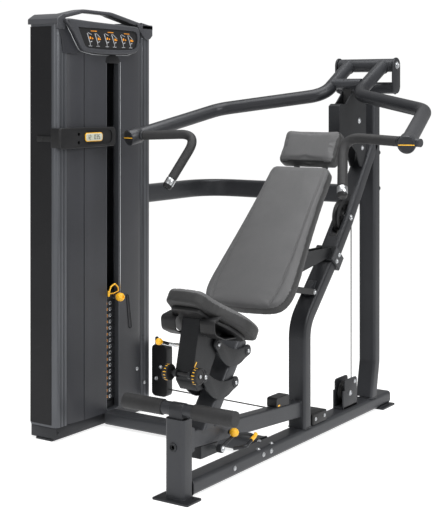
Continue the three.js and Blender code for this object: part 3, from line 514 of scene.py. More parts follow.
def weld_bead(b, loop, r=2.6, closed=True):
    """A rippled weld bead along a closed or open line of points."""
    pts = [Vector(p) for p in loop]
    dense = []
    k = len(pts)
    for i in range(k if closed else k - 1):
        a, c = pts[i], pts[(i + 1) % k]
        steps = max(1, int((c - a).length / 2.2))
        dense += [a.lerp(c, j / steps) for j in range(steps)]
    if not closed:
        dense.append(pts[-1])
    rr = [r * (1 + 0.16 * math.sin(i * 2.1)) for i in range(len(dense))]
    if closed:
        rings = []
        up = Vector((0.3, 0.5, 0.81)).normalized()
        for i, p in enumerate(dense):
            t = (dense[(i + 1) % len(dense)] - dense[i - 1]).normalized()
            u = (up - t * up.dot(t)).normalized(); w = t.cross(u)
            rings.append([tuple(p + (u * math.cos(2 * math.pi * j / 8) + w * math.sin(2 * math.pi * j / 8)) * rr[i]) for j in range(8)])
        b.loft(rings, loop=True)
    else:
        b.tube(dense, rr, 8)

def sect(a0, a1, b0, b1, r, axis, h, n=6):
    return [PLANES[axis](a, c, h) for a, c in rrect(a0, a1, b0, b1, r, n)]

# ------------------------------------------------------------------ sizes, the same as the CAD's
HW = 42
RU, RL = (427, 482), (339, 375)
FU, FL = (221, 542), (133, 435)
PIVOT = (1548, 1617)
LEGP, FLOORP, UPP = (1305, 928), (1326, 131), (1410, 1362)
LUG = (986, 634)
SLOTY = (650, 721)
TX0, TX1 = -1010, -858

# ------------------------------------------------------------------ floor frame
b = B()
b.prism(rrect(-80, 80, -20, 72.7, 6), "Z", 0, 8, 1.2)
post = b.done("front_post_plate", "frame", repl="front_post", bevel=0)
cut(post, B().lathe((-61, 48, -3), (0, 0, 1), [(0, 6), (16, 6)]), B().lathe((61, 48, -3), (0, 0, 1), [(0, 6), (16, 6)]))
post.data.set_sharp_from_angle(angle=rad(34))
b = B()
b.prism(rrect(-HW, HW, 8, 72.7, 14), "Z", 7, 297)
weld_bead(b, sect(-HW, HW, 8, 72.7, 14, "Z", 8.5))
b.done("front_post_tube", "frame")
b = B()
b.lathe((-4, 10, 196), (0, -1, 0), [(0, 17), (5, 17), (7, 15.5), (7.4, 10), (4, 9.0), (2, 6)], 36)
b.done("front_post_boss", "darkmetal")
b = B()
b.prism(rrect(-HW, HW, 8, 66, 16), "Y", 73, 588.6)
weld_bead(b, sect(-HW, HW, 8, 66, 16, "Y", 73.2))
b.done("front_rail_tube", "frame", repl="front_rail")
b = B()
b.prism(rrect(-HW, HW, 8, 66, 16), "Y", 589, 1700)
b.prism(rrect(-62, 62, 1590, 1716, 6), "Z", 0, 8.5, 1.2)
weld_bead(b, [(-HW, 1592, 9), (-HW, 1690, 9)], closed=False)
weld_bead(b, [(HW, 1592, 9), (HW, 1690, 9)], closed=False)
b.done("rear_rail_tube", "frame", repl="rear_rail")
b = B()
b.prism(rrect(-HW + 1, HW - 1, 10, 65, 15), "Y", 1700.2, 1709, 2.5)
b.done("rail_end_plug", "black", repl="rail_end_cap")
b = B()
b.prism(rrect(642, 726, 8, 66, 16), "X", -843.5, -42.2)
weld_bead(b, sect(642, 726, 8, 66, 16, "X", -43))
b.done("cross_base_rail", "frame", repl="cross_base_tube")
# rail splice bolts
b = B()
for y in (540, 640):
    bolt(b, (28, y, 66), (0, 0, 1), 7, 5)
    bolt(b, (-28, y, 66), (0, 0, 1), 7, 5)
bolt(b, (42, 350, 40), (1, 0, 0), 7, 5)
bolt(b, (42, 560, 42), (1, 0, 0), 7, 5)
bolt(b, (42, 618, 42), (1, 0, 0), 7, 5)
b.done("rail_bolts", "steel")

# foot bar, sleeves with end beads
b = B()
b.lathe((-246, 41, 327), (1, 0, 0), [(0, 23), (2, 25), (490, 25), (492, 23)], 40)
b.prism(capsule((41, 297), (41, 327), 24, 27, 12), "X", -30, 30, 2.5)
weld_bead(b, [(-HW, 20, 297), (-HW, 62, 297)], closed=False)
b.done("foot_bar_tube", "frame", repl="foot_bar")
for side, s in (("left", -1), ("right", 1)):
    prof = [(0, 26), (1.2, 28.4), (3.4, 29.5)]
    k = 172 / 30
    for i in range(1, 30):
        prof.append((4 + k * i * 0.97, 29.5 - (0.5 if i % 2 else 0.0)))
    prof += [(176, 29.5), (180, 28.8), (181.6, 26.6), (182, 22)]
    b = B().lathe((s * 68, 41, 327), (s, 0, 0), prof, 44)
    b.done("foot_sleeve_rubber_" + side, "rubber", repl="foot_sleeve_" + side)

# ------------------------------------------------------------------ A-frame
leg_line = fillet([(918, 66.3), (918, 505), (1165, 752), (1300, 905), (1560, 1252)], [150, 500, 500], 14)
b = B().strip(leg_line, 60, "X", -HW, HW, 13)
leg = b.done("incline_leg_tube", "frame", repl="incline_leg")
slot_pts = [(1150, 905), (1225, 838), (1470, 838), (1470, 1022), (1290, 1032)]
cut(leg, B().prism(fillet(slot_pts + [slot_pts[0]], 12, 4)[:-1], "X", -19, 19))
leg.data.set_sharp_from_angle(angle=rad(38))
b = B()
b.prism(capsule((1030, 650), LUG, 26, 18, 12), "X", -14, 14, 2)
weld_bead(b, [(14, 1000, 618), (14, 1034, 672)], closed=False)
weld_bead(b, sect(-HW, HW, 888, 948, 13, "Z", 67.5))
b.done("leg_lug", "frame")
up_line = fillet([(1536, 66.3), (1571, 230), (1571, 1478)], 120, 10)
b = B().strip(up_line, 62, "X", -HW, HW, 13)
weld_bead(b, sect(-HW, HW, 1505, 1567, 13, "Z", 67.5))
b.done("rear_upright_tube", "frame", repl="rear_upright")
b = B().prism(rrect(-HW + 2, HW - 2, 1542, 1600, 12), "Z", 1477.5, 1484, 2.5)
b.done("rear_upright_cap", "black")
brace_line = fillet([(-925, 998.3), (-925, 1571), (-42.3, 1571)], 190, 20)
b = B().strip(brace_line, 60, "Z", 968, 1052, 13)
weld_bead(b, [(-43, p[1], p[2]) for p in sect(1541, 1601, 968, 1052, 13, "X", -43)])
b.done("rear_brace_tube", "frame", repl="rear_brace")
b = B()
b.prism(rrect(-41, 41, 962, 1085, 8), "Z", 66.3, 112, 3.5)
b.prism(rrect(-34, 34, 970, 1077, 6), "Z", 111, 114, 1.5)
box_o = b.done("rail_pulley_cover", "black", repl="rail_pulley_box")
b = B()
bolt(b, (41, 985, 90), (1, 0, 0), 6, 4); bolt(b, (41, 1062, 90), (1, 0, 0), 6, 4)
b.done("rail_pulley_screws", "steel")

# ------------------------------------------------------------------ seat beam, stop block, post
beam_top = lambda y: 249 - 0.0737 * y
rings = []
for y in (96, 887.6):
    z = beam_top(y)
    rings.append([(x, y, zz) for x, zz in rrect(-25, 25, z - 68, z, 7)])
b = B().loft(rings)
b.prism([(73.3, 160), (97, 168), (97, 250), (73.3, 262)], "X", -30, 30)
weld_bead(b, [(x, 888, z + beam_top(888)) for x, z in rrect(-25, 25, -68, 0, 7)])
b.done("seat_beam_tube", "frame", repl="seat_beam")
b = B()
bt = lambda y: beam_top(y) + 0.4
b.prism([(690, bt(690)), (790, bt(790)), (790, 229), (784, 236), (696, 236), (690, 229)], "X", -24, 24)
b.done("stop_block", "black", repl="beam_stop_block", bevel=2.5)
b = B()
b.prism([(700, 200), (716, 200), (716, 206), (700, 206)], "X", 23.6, 24.6)
b.done("stop_block_mark", "yellow")
pd, pn = (0.6354, 0.7722), (0.7722, -0.6354)
PP = lambda o, a, c: (o[0] + a * pd[0] + c * pn[0], o[1] + a * pd[1] + c * pn[1])
base = (176, 236)
prof = rrect(-30, 30, -HW, HW, 11)
rings = []
for a in (-8, 372):
    ring = []
    for u, x in prof:
        p = PP(base, a, u)
        if a < 0:
            dz = beam_top(p[0]) - 4 - p[1]
            p = (p[0] + pd[0] * dz / pd[1] * 0.98, p[1] + dz * 0.98)
        ring.append((x, p[0], p[1]))
    rings.append(ring)
b = B().loft(rings)
for q in (RU, RL):
    b.prism(capsule(PP(q, 0, -22), q, 20, 20, 12), "X", -HW + 2, HW - 2, 2)
b.done("seat_post_tube", "frame", repl="seat_post")
b = B()
c = PP(base, 372, 0)
b.loft([[(x * k, *PP(base, 372 + h, u * k)) for u, x in rrect(-29, 29, -HW + 1, HW - 1, 11)] for h, k in ((0, 1.0), (5, 1.0), (8, 0.93))])
b.done("seat_post_cap", "black")

# ------------------------------------------------------------------ pedal and bracket
b = B()
b.prism([(150, 120), (262, 120), (262, beam_top(262) - 68.4), (150, beam_top(150) - 68.4)], "X", -22, 22)
b.done("pedal_hinge_block", "darkmetal", repl="pedal_bracket", bevel=3)
b = B()
b.lathe((20, 236, 146), (1, 0, 0), [(0, 7), (20, 7)], 20)
hexbolt(b, (63, 236, 146), (1, 0, 0), 8, 5)
b.done("pedal_axle", "steel")
line = fillet([(54, 238, 150), (54, 330, 177), (101, 411, 168), (113, 318, 143), (70, 296, 134)], 22, 8)
b = B().tube(line, 7, 20)
b.lathe((41, 236, 146), (1, 0, 0), [(0, 14.5), (1.5, 16), (20.5, 16), (22, 14.5)], 32)
b.lathe((36, 316.4, 187.9), (1, 0, 0), [(0, 8), (1, 9), (26, 9)], 24)
b.done("pedal_rod", "darkmetal", "pedal", repl="pedal")
b = B()
b.lathe((44, 316.4, 189.7), (1, 0, 0), [(0, 6), (2, 11), (7, 15.2), (13, 17), (20, 16.8), (27, 14.5), (32, 10), (34.6, 5), (35, 0.5)], 32)
b.done("pedal_knob", "yellow", "pedal")
b = B()
b.tube([(100, 409, 168.5), (104, 392, 163), (107.5, 365, 156)], [7.9, 8.2, 7.9], 20)
b.done("pedal_tread", "yellow", "pedal")

# ------------------------------------------------------------------ seat linkage
def banana(a, c):
    t = math.atan2(c[1] - a[1], c[0] - a[0]); L = math.hypot(c[0] - a[0], c[1] - a[1])
    F = lambda u, v: (a[0] + u * math.cos(t) - v * math.sin(t), a[1] + u * math.sin(t) + v * math.cos(t))
    out = [F(u, v) for u, v in circle((0, 0), 24, 10, 70, 205)]
    out += [F(L * k, v) for k, v in ((0.06, -33), (0.14, -48), (0.24, -60), (0.37, -70), (0.5, -73), (0.63, -70), (0.76, -60), (0.86, -48), (0.94, -33))]
    out += [F(L + u, v) for u, v in circle((0, 0), 24, 10, -25, 110)]
    out += [F(L * k, v) for k, v in ((0.86, 10), (0.7, 0), (0.5, -5), (0.3, 0), (0.14, 10))]
    return out
for nm, f, r in (("upper", FU, RU), ("lower", FL, RL)):
    body = nm + "_link"
    b = B()
    for x in (HW + 3, -HW - 10):
        b.prism(banana(f, r), "X", x, x + 7, 1.6)
    b.done(nm + "_link_plates", "darkmetal", body, repl=nm + "_link")
    b = B()
    for q in (f, r):
        b.lathe((-HW - 11, q[0], q[1]), (1, 0, 0), [(0, 8), (2 * HW + 22, 8)], 24)
        for s in (-1, 1):
            b.lathe((s * (HW + 9.5), q[0], q[1]), (s, 0, 0), [(0, 19), (1.6, 19), (3.0, 17.4), (3.4, 14.5), (3.4, 9.5), (2.6, 9.0)], 36)
    b.done(nm + "_link_caps", "darkmetal", body)
    b = B()
    for q in (f, r):
        for s in (-1, 1):
            b.lathe((s * (HW + 11.5), q[0], q[1]), (s, 0, 0), [(0, 8.4), (3.6, 8.2), (5.6, 6.4), (6.2, 4.2), (4.2, 3.8)], 28)
    b.done(nm + "_link_pins", "steel", body)

keep("seat_carrier", "darkmetal", 2.2, 38, 3)
DY, DZ = 66, 452
b = B()
for s in (-1, 1):
    b.lathe((s * 54, DY, DZ), (s, 0, 0), [(0, 24), (0.8, 29.4), (3, 31), (19, 31), (22.6, 29.8), (24, 27.4), (24, 24.6), (22.6, 24.0), (22.4, 10), (24.2, 9.4), (24.6, 5)], 56)
b.lathe((-56, DY, DZ), (1, 0, 0), [(0, 6), (112, 6)], 24)
b.done("indicator_discs", "black", "seat", repl="angle_indicator")
b = B()
for s in (-1, 1):
    for k in range(7):
        q = rad(100 + k * 22)
        u, w = Vector((0, math.cos(q), math.sin(q))), Vector((0, -math.sin(q), math.cos(q)))
        c = Vector((s * 64, DY, DZ)) + u * 30.7
        hw_t = 6.5 if k % 3 == 0 else 4.2
        b.loft([[tuple(c + u * h + Vector((1, 0, 0)) * x + w * y) for x, y in ((-hw_t, -1.5), (hw_t, -1.5), (hw_t, 1.5), (-hw_t, 1.5))] for h in (-0.6, 0.7)])
b.done("indicator_ticks", "yellow", "seat")
b = B()
b.prism([(93, 498), (97, 494), (82, 478), (79, 481)], "X", 40.0, 41.2)
b.prism([(93, 498), (97, 494), (82, 478), (79, 481)], "X", -41.2, -40.0)
b.done("indicator_pointers", "yellow", "seat")
b = B()
for s in (-1, 1):
    bolt(b, (s * 78, DY, DZ), (s, 0, 0), 5, 3)
b.done("indicator_screws", "steel", "seat")

# ------------------------------------------------------------------ cushions
from mathutils.bvhtree import BVHTree

def remesh(o, size):
    md = o.modifiers.new("remesh", "REMESH")
    md.mode = "VOXEL"; md.voxel_size = size * MM; md.use_smooth_shade = True
    dg = bpy.context.evaluated_depsgraph_get(); dg.update()
    me = bpy.data.meshes.new_from_object(o.evaluated_get(dg))
    o.modifiers.clear(); old = o.data; o.data = me; bpy.data.meshes.remove(old)

def seg_dist(p, line):
    best = 1e9
    for i in range(len(line) - 1):
        a, c = line[i], line[i + 1]
        dx, dy = c[0] - a[0], c[1] - a[1]
        t = max(0.0, min(1.0, ((p[0] - a[0]) * dx + (p[1] - a[1]) * dy) / (dx * dx + dy * dy)))
        best = min(best, math.hypot(p[0] - a[0] - dx * t, p[1] - a[1] - dy * t))
    return best

def cushion(name, node, body, outline, T, M, rim=(16, 9), seams=(), crown=3.0, cap=5.0, voxel=5.5, pressure=4.0, drop=None, shrink=3.0):
    """A stuffed pad: outline in its own plane, remeshed, crowned, drawn in along its seams, then inflated."""
    Mi = M.inverted()
    out = inset(outline, shrink)
    rings = []
    steps = 5
    for i in range(steps, -1, -1):
        q = rad(90 * i / steps)
        rings.append([tuple(M @ Vector((x, y, -T + 1 + rim[1] * (1 - math.sin(rad(90) - q) if False else 1 - math.cos(rad(90) - q) if False else (1 - math.cos(q)) if False else 1 - math.sin(rad(90 - 90 * i / steps)))))) for x, y in inset(out, rim[1] * (1 - math.cos(rad(90 - 90 * i / steps))))])
    rings = []
    for i in range(steps + 1):
        q = rad(90 * i / steps)
        rings.append([tuple(M @ Vector((x, y, -T + 1 + rim[1] * (1 - math.cos(q))))) for x, y in inset(out, rim[1] * (1 - math.sin(q)))])
    for i in range(steps + 1):
        q = rad(90 * i / steps)
        rings.append([tuple(M @ Vector((x, y, -shrink - rim[0] * (1 - math.sin(q))))) for x, y in inset(out, rim[0] * (1 - math.cos(q)))])
    b = B().loft(rings)
    o = bpy.data.objects.new(name, b.mesh(name)); COL.objects.link(o)
    remesh(o, voxel)
    me = o.data
    xs = [p[0] for p in outline]; ys = [p[1] for p in outline]
    hx, cy, hy = max(xs), (max(ys) + min(ys)) / 2, (max(ys) - min(ys)) / 2
    pins = []
    for v in me.vertices:
        p = Mi @ (v.co / MM)
        top = max(0.0, min(1.0, (p.z + T * 0.55) / (T * 0.45)))
        if top > 0:
            u, w = p.x / hx, (p.y - cy) / hy
            p.z += crown * top * max(0.0, 1 - u * u) * max(0.0, 1 - w * w) ** 0.5
            if drop:
                p.z -= drop(p.x, p.y) * top
            if p.z > -T * 0.45:
                for line in seams:
                    d = seg_dist((p.x, p.y), line)
                    if d < 9:
                        p.z -= 3.0 * math.exp(-(d / 3.4) ** 2)
                    if d < 3.2:
                        pins.append(v.index)
        if p.z < -T + 4:
            pins.append(v.index)
        v.co = (M @ p) * MM
    rest = [v.co.copy() for v in me.vertices]
    vg = o.vertex_groups.new(name="pin"); vg.add(sorted(set(pins)), 1.0, "REPLACE")
    c = o.modifiers.new("cloth", "CLOTH")
    st = c.settings
    st.use_pressure = True; st.uniform_pressure_force = pressure
    st.effector_weights.gravity = 0.0
    st.vertex_group_mass = "pin"; st.quality = 4
    st.tension_stiffness = 18; st.compression_stiffness = 18; st.bending_stiffness = 3.0
    c.point_cache.frame_start = 1; c.point_cache.frame_end = 20
    for f in range(1, 21):
        bpy.context.scene.frame_set(f)
    dg = bpy.context.evaluated_depsgraph_get()
    ev = o.evaluated_get(dg).to_mesh()
    moved = [v.co.copy() for v in ev.vertices]
    o.evaluated_get(dg).to_mesh_clear()
    o.modifiers.clear(); o.vertex_groups.clear()
    bpy.context.scene.frame_set(1)
    for v, r, m in zip(me.vertices, rest, moved):
        d = m - r
        if d.length > cap * MM:
            d = d.normalized() * cap * MM
        v.co = r + d
    # Faces low on the pad's sides take the darker copy: painted shade.
    me.materials.clear(); me.materials.append(M_["vinyl"]); me.materials.append(M_["vinyl_shaded_side"])
    for p in me.polygons:
        c = Mi @ (p.center / MM)
        p.material_index = 1 if c.z < -T * 0.30 + 2.0 else 0
        p.use_smooth = True
    sm = o.modifiers.new("fine", "SUBSURF"); sm.levels = 1; sm.render_levels = 1
    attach(o, body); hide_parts(node)
    return o

def stitches(name, pad, M, lines, body, pitch=6.2, length=4.2, r=0.75, side=4.0):
    """Two rows of thread that lie on the pad on both sides of a seam."""
    dg = bpy.context.evaluated_depsgraph_get(); dg.update()
    tree = BVHTree.FromObject(pad, dg)
    up = (M.to_3x3() @ Vector((0, 0, 1))).normalized()
    b = B()
    for line in lines:
        for off in ((-side, side) if side else (0,)):
            run = 0.0
            for i in range(len(line) - 1):
                a, c = Vector(line[i]), Vector(line[i + 1])
                L = (c - a).length; d = (c - a) / L
                nrm = Vector((-d[1], d[0]))
                t = (pitch - run) % pitch
                while t + length < L:
                    ends = []
                    for tt in (t, t + length * 0.5, t + length):
                        q = a + d * tt + nrm * off
                        w = M @ Vector((q[0], q[1], 40))
                        hit = tree.ray_cast(w * MM, -up, 0.2)
                        if hit[0] is not None:
                            ends.append(hit[0] / MM + up * (0.25 if tt != t + length * 0.5 else 0.7))
                    if len(ends) == 3:
                        b.tube(ends, [r * 0.6, r, r * 0.6], 6)
                    t += pitch
                run = (run + L) % pitch
    return b.done(name, "thread", body)
M_ = M

BT = rad(42.8)
bu = Vector((0, math.sin(BT), math.cos(BT))); bn = Vector((0, -math.cos(BT), math.sin(BT)))
def plane(ex, ey, ez, o):
    m = Matrix.Identity(4)
    for i in range(3):
        m[i][0], m[i][1], m[i][2], m[i][3] = ex[i], ey[i], ez[i], o[i]
    return m
back_M = plane((1, 0, 0), bu, bn, (0, 925, 1184))
half = [(0, 0), (60, 0), (118, -1), (132, -5), (141, -16), (146, -34), (149, -95), (152, -160), (158, -232), (165, -305), (173, -378), (182, -450), (191, -520), (197, -575), (199, -618), (196, -652), (186, -680), (168, -702), (140, -715), (96, -722), (46, -725)]
back_out = half + [(0, -725.5)] + [(-x, y) for x, y in reversed(half[1:])]
back_out = back_out[::-1]
seamR = [(124, -14), (127, -60), (129, -150), (133, -250), (138, -350), (144, -450), (148, -540), (150, -610), (146, -660), (134, -704)]
seamL = [(-x, y) for x, y in seamR]
back = cushion("back_cushion", "back_pad", "frame", back_out, 62, back_M, rim=(15, 8), seams=(seamR, seamL), crown=3.0, cap=4.5, voxel=5.5,
               drop=lambda x, y: 9.0 * max(0.0, min(1.0, (abs(x) - (126 + 24 * min(1, -y / 620))) / 46)) ** 1.2)
stitches("back_cushion_thread", back, back_M, (seamR, seamL), "frame")
board = [(x * 0.86, -362 + (y + 362) * 0.92) for x, y in back_out]
b = B().prism(board, "Z", -62 - 12.3, -62.3, 2.5, 3, back_M)
b.done("back_board_shell", "black", repl="back_board")

HT, HB = (1032, 1332), (952, 1194)
hu = Vector((0, HT[0] - HB[0], HT[1] - HB[1])); HL = hu.length; hu.normalize(); hn = Vector((0, -hu[2], hu[1]))
head_M = plane((1, 0, 0), hu, hn, (0, HB[0], HB[1]))
hw = 140
head_out = rrect(-hw, hw, 0, HL, 24, 6)
# wedge offset: it returns zero and nothing calls it; the head's depth is set in the loop below
def wedge(x, y):
    return 0.0
head = None
rings = []
def head_ring(k, ins):
    """Outline inset by ins; the depth k (0 face .. 1 back) is not used."""
    o2 = inset(head_out, ins)
    out = []
    for x, y in o2:
        out.append(Vector((x, y, 0)))
    return out
prof = [(1.0, 12), (0.93, 5), (0.85, 1.5), (0.70, 0), (0.25, 0), (0.13, 2), (0.05, 6.5), (0.015, 11.5), (0.0, 17)]
for k, ins in prof:
    ring = []
    for p in head_ring(k, ins + 2):
        depth = 58 + 8 * (1 - p.y / HL)
        ring.append(tuple(head_M @ Vector((p.x, p.y, -2 - k * depth))))
    rings.append(ring)
b = B().loft(rings)
head = bpy.data.objects.new("head_cushion", b.mesh("head_cushion")); COL.objects.link(head)
remesh(head, 5.0)
hseam = [[(-hw + 24, 22), (-hw + 22, HL - 20)], [(hw - 24, 22), (hw - 22, HL - 20)]]
me = head.data; Hi = head_M.inverted(); pins = []
for v in me.vertices:
    p = Hi @ (v.co / MM)
    if p.z > -22:
        u, w_ = p.x / hw, (p.y - HL / 2) / (HL / 2)
        p.z += 3.0 * max(0.0, 1 - u * u) * max(0.0, 1 - w_ * w_) ** 0.5
        p.z -= 6.0 * max(0.0, min(1.0, (abs(p.x) - 116) / 24)) ** 1.3
        dd = abs(p.y - 17)
        if dd < 9:
            p.z -= 2.0 * math.exp(-(dd / 3.2) ** 2)
    if p.z < -54:
        pins.append(v.index)
    v.co = (head_M @ p) * MM
rest = [v.co.copy() for v in me.vertices]
vg = head.vertex_groups.new(name="pin"); vg.add(pins, 1.0, "REPLACE")
c = head.modifiers.new("cloth", "CLOTH"); st = c.settings
st.use_pressure = True; st.uniform_pressure_force = 4.0; st.effector_weights.gravity = 0.0
st.vertex_group_mass = "pin"; st.quality = 4; st.tension_stiffness = 18; st.compression_stiffness = 18; st.bending_stiffness = 3.0
c.point_cache.frame_start = 1; c.point_cache.frame_end = 20
for f in range(1, 21):
    bpy.context.scene.frame_set(f)
dg = bpy.context.evaluated_depsgraph_get(); ev = head.evaluated_get(dg).to_mesh()
moved = [v.co.copy() for v in ev.vertices]
head.evaluated_get(dg).to_mesh_clear(); head.modifiers.clear(); head.vertex_groups.clear()
bpy.context.scene.frame_set(1)
for v, r, m in zip(me.vertices, rest, moved):
    d = m - r
    if d.length > 4.0 * MM:
        d = d.normalized() * 4.0 * MM
    v.co = r + d
# The head pad's sides, back and lower end take the darker copy: painted shade.
me.materials.clear(); me.materials.append(M["vinyl"]); me.materials.append(M["vinyl_shaded_side"])
for p in me.polygons:
    c = Hi @ (p.center / MM)
    p.material_index = 1 if (c.z < -9 or c.y < 3.0 or abs(c.x) > hw - 3.5) else 0
    p.use_smooth = True
sm = head.modifiers.new("fine", "SUBSURF"); sm.levels = 1; sm.render_levels = 1
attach(head, "frame"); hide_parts("head_pad")
stitches("head_cushion_thread", head, head_M, [[(-hw + 20, 13), (hw - 20, 13)]], "frame", side=0)
# two flat stays that join the head cushion to the back board
b = B()
for x in (-70, 70):
    P0 = Vector((0, 925, 1184)) + bu * (-60) - bn * 74.5
    pts = [tuple(P0 + bu * -20), tuple(P0 + bu * 30), (x, 1046, 1196), (x, 1070, 1260)]
    line = fillet([(p[1], p[2]) for p in pts], 18, 6)
    b.strip(line, 5, "X", x - 14, x + 14, 2, 2)
b.done("head_stays", "darkmetal")

ST = rad(34)
su = Vector((0, -math.cos(ST), math.sin(ST))); sn = Vector((0, math.sin(ST), math.cos(ST)))
seat_M = plane((1, 0, 0), su, sn, (0, 340, 592))
sh = [(0, 0), (60, -1), (120, 1), (158, 6), (176, 17), (183, 36), (184, 60), (182, 86), (175, 112), (162, 138), (143, 164), (122, 190), (105, 214), (94, 238), (87, 268), (83, 292), (75, 308), (58, 317), (30, 320)]
seat_out = sh + [(0, 321)] + [(-x, y) for x, y in reversed(sh[1:])]
sseam = [[(150, 24), (158, 60), (154, 96), (138, 132), (112, 168), (88, 202), (73, 236), (65, 284), (44, 302), (0, 305), (-44, 302), (-65, 284), (-73, 236), (-88, 202), (-112, 168), (-138, 132), (-154, 96), (-158, 60), (-150, 24)]]
seat = cushion("seat_cushion", "seat_pad", "seat", seat_out, 58, seat_M, rim=(17, 9), seams=sseam, crown=9.0, cap=6.0, voxel=5.0,
               drop=lambda x, y: 0.0)
stitches("seat_cushion_thread", seat, seat_M, sseam, "seat")
pan = [(x * 0.8, 150 + (y - 150) * 0.78) for x, y in seat_out]
b = B().prism(pan, "Z", -58 - 16.3, -58.3, 3.5, 3, seat_M)
b.done("seat_pan_shell", "black", "seat", repl="seat_pan")

b = B()
wing = fillet([(150, 662), (92, 652), (98, 604), (160, 577), (236, 572)], [18, 26, 60], 8)
for x in (56, -122):
    b.strip(wing, 6, "X", x, x + 66, 2.4, 3)
b.done("seat_pan_wings", "black", "seat")

# seat lever
b = B()
b.lathe((-40.3, 128, 540), (-1, 0, 0), [(0, 12), (4, 12), (5, 8), (34, 8)], 24)
b.tube(fillet([(-70, 128, 540), (-100, 112, 544), (-112, 80, 556)], 14, 8), 7, 20)
b.done("seat_lever_rod", "chrome", "seat_lever", repl="seat_lever")
b = B().lathe((-111.5, 84, 554.5), (-0.12, -0.93, 0.30), [(0, 7), (2, 8.5), (8, 12), (14, 13.4), (21, 12.6), (26, 9), (28.5, 4), (29, 0.5)], 28)
b.done("seat_lever_knob", "yellow", "seat_lever")

# ------------------------------------------------------------------ back bracket and strut
ld = (0.662, 0.7495); lnn = (-0.7495, 0.662); legC = (1168, 757)
Q = lambda a, c: (legC[0] + a * ld[0] + c * lnn[0], legC[1] + a * ld[1] + c * lnn[1])
keep("back_bracket", "darkmetal", 2.0, 38, 3)
o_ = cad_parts["back_strut"]; keep("back_strut", "black", 1.2, 38, 2)
boardBack = lambda s, d: (925 + bu[1] * s - bn[1] * d, 1184 + bu[2] * s - bn[2] * d)
tp = boardBack(-552, 74.9 + 34)
b = B()
for s in (-1, 1):
    bolt(b, (s * 35, LUG[0], LUG[1]), (s, 0, 0), 8, 6)
    bolt(b, (s * 35, tp[0], tp[1]), (s, 0, 0), 8, 6)
    bolt(b, (s * 52, Q(-16, 6)[0], Q(-16, 6)[1]), (s, 0, 0), 8, 6)
    bolt(b, (s * 52, Q(18, 6)[0], Q(18, 6)[1]), (s, 0, 0), 8, 6)
b.done("back_bracket_bolts", "steel")

# ------------------------------------------------------------------ pivot and press arms
b = B()
b.lathe((-145, 1550, 1512), (1, 0, 0), [(0, 25), (2, 27), (288, 27), (290, 25)], 40)
for x in (143, -153):
    b.prism(capsule((1548, 1522), PIVOT, 36, 36, 20), "X", x, x + 10, 2.2)
for s in (-1, 1):
    weld_bead(b, [(s * 142.2, 1550 + 27.5 * math.cos(q), 1512 + 27.5 * math.sin(q)) for q in [2 * math.pi * i / 24 for i in range(24)]])
b.done("pivot_yoke_weldment", "frame", repl="pivot_yoke")
b = B()
for s in (-1, 1):
    hexbolt(b, (s * 153, PIVOT[0], PIVOT[1]), (s, 0, 0), 12, 8)
b.done("pivot_bolts", "steel")
arm_pts = lambda s: [(s * 89.6, 1538, 1618), (s * 83, 1284.5, 1481), (s * 512, 1067, 1414.5), (s * 650, 603.6, 1300)]
b = B()
b.lathe((-141, 1548, 1617), (1, 0, 0), [(0, 29.5), (1.5, 31), (280.5, 31), (282, 29.5)], 44)
cc = (1352, 1530)
for s in (-1, 1):
    P4 = arm_pts(s)
    d = (Vector(P4[3]) - Vector(P4[2])).normalized()
    H = Vector(P4[3])
    line = fillet([P4[0], P4[1], P4[2], tuple(H - d * 30)], [115, 115], 16)
    b.tube(line, 30, 36)
    t0 = (Vector(line[1]) - Vector(line[0])).normalized()
    b.lathe((s * 21, cc[0], cc[1]), (s, 0, 0), [(0, 22.5), (1.5, 24), (50, 24)], 36)
    b.tube([(s * 706, 600, 1301.5), (s * 606, 618, 1304.7)], 16, 28)
    # weld where the arm meets the pivot tube
    weld_bead(b, [tuple(Vector((s * 89.6, 1548, 1617)) + Vector((32.5 * math.cos(q), -31 * math.cos(0.9 * math.sin(q)) * 0.86, 30 * math.sin(q) * 0.80 - 14 * 1.0))) for q in [2 * math.pi * i / 28 for i in range(28)]], 2.8)
b.lathe((-30, cc[0], cc[1]), (1, 0, 0), [(0, 8), (60, 8)], 24)
arc = [(cc[0] + r * math.cos(rad(q)), cc[1] + r * math.sin(rad(q))) for r, qs in ((24, range(-28, 249, 6)), (19.2, range(248, -29, -6))) for q in qs]
b.prism(arc, "X", -22, 22)
b.done("press_weldment", "arm", "press_arm", repl="press_frame")
b = B()
for s in (-1, 1):
    P4 = arm_pts(s); d = (Vector(P4[3]) - Vector(P4[2])).normalized(); H = Vector(P4[3])
    b.lathe(H - d * 34, d, [(0, 30.2), (2, 34), (3.5, 35), (60, 35), (63, 33.6), (64, 31.5), (64, 28), (62.6, 27), (62.6, 1)], 48)
b.done("arm_end_hubs", "arm", "press_arm")
b = B()
for s in (-1, 1):
    P4 = arm_pts(s); d = (Vector(P4[3]) - Vector(P4[2])).normalized(); H = Vector(P4[3]) + d * 28.4
    side = Vector((0, 0, 1)).cross(d).normalized(); upv = d.cross(side)
    m = plane(side, upv, d, H)
    b.prism([(-31, -1.9), (31, -1.9), (31, 1.9), (-31, 1.9)], "Z", 0, 1.8, 0.5, 2, m)
b.done("hub_mark", "yellow", "press_arm")
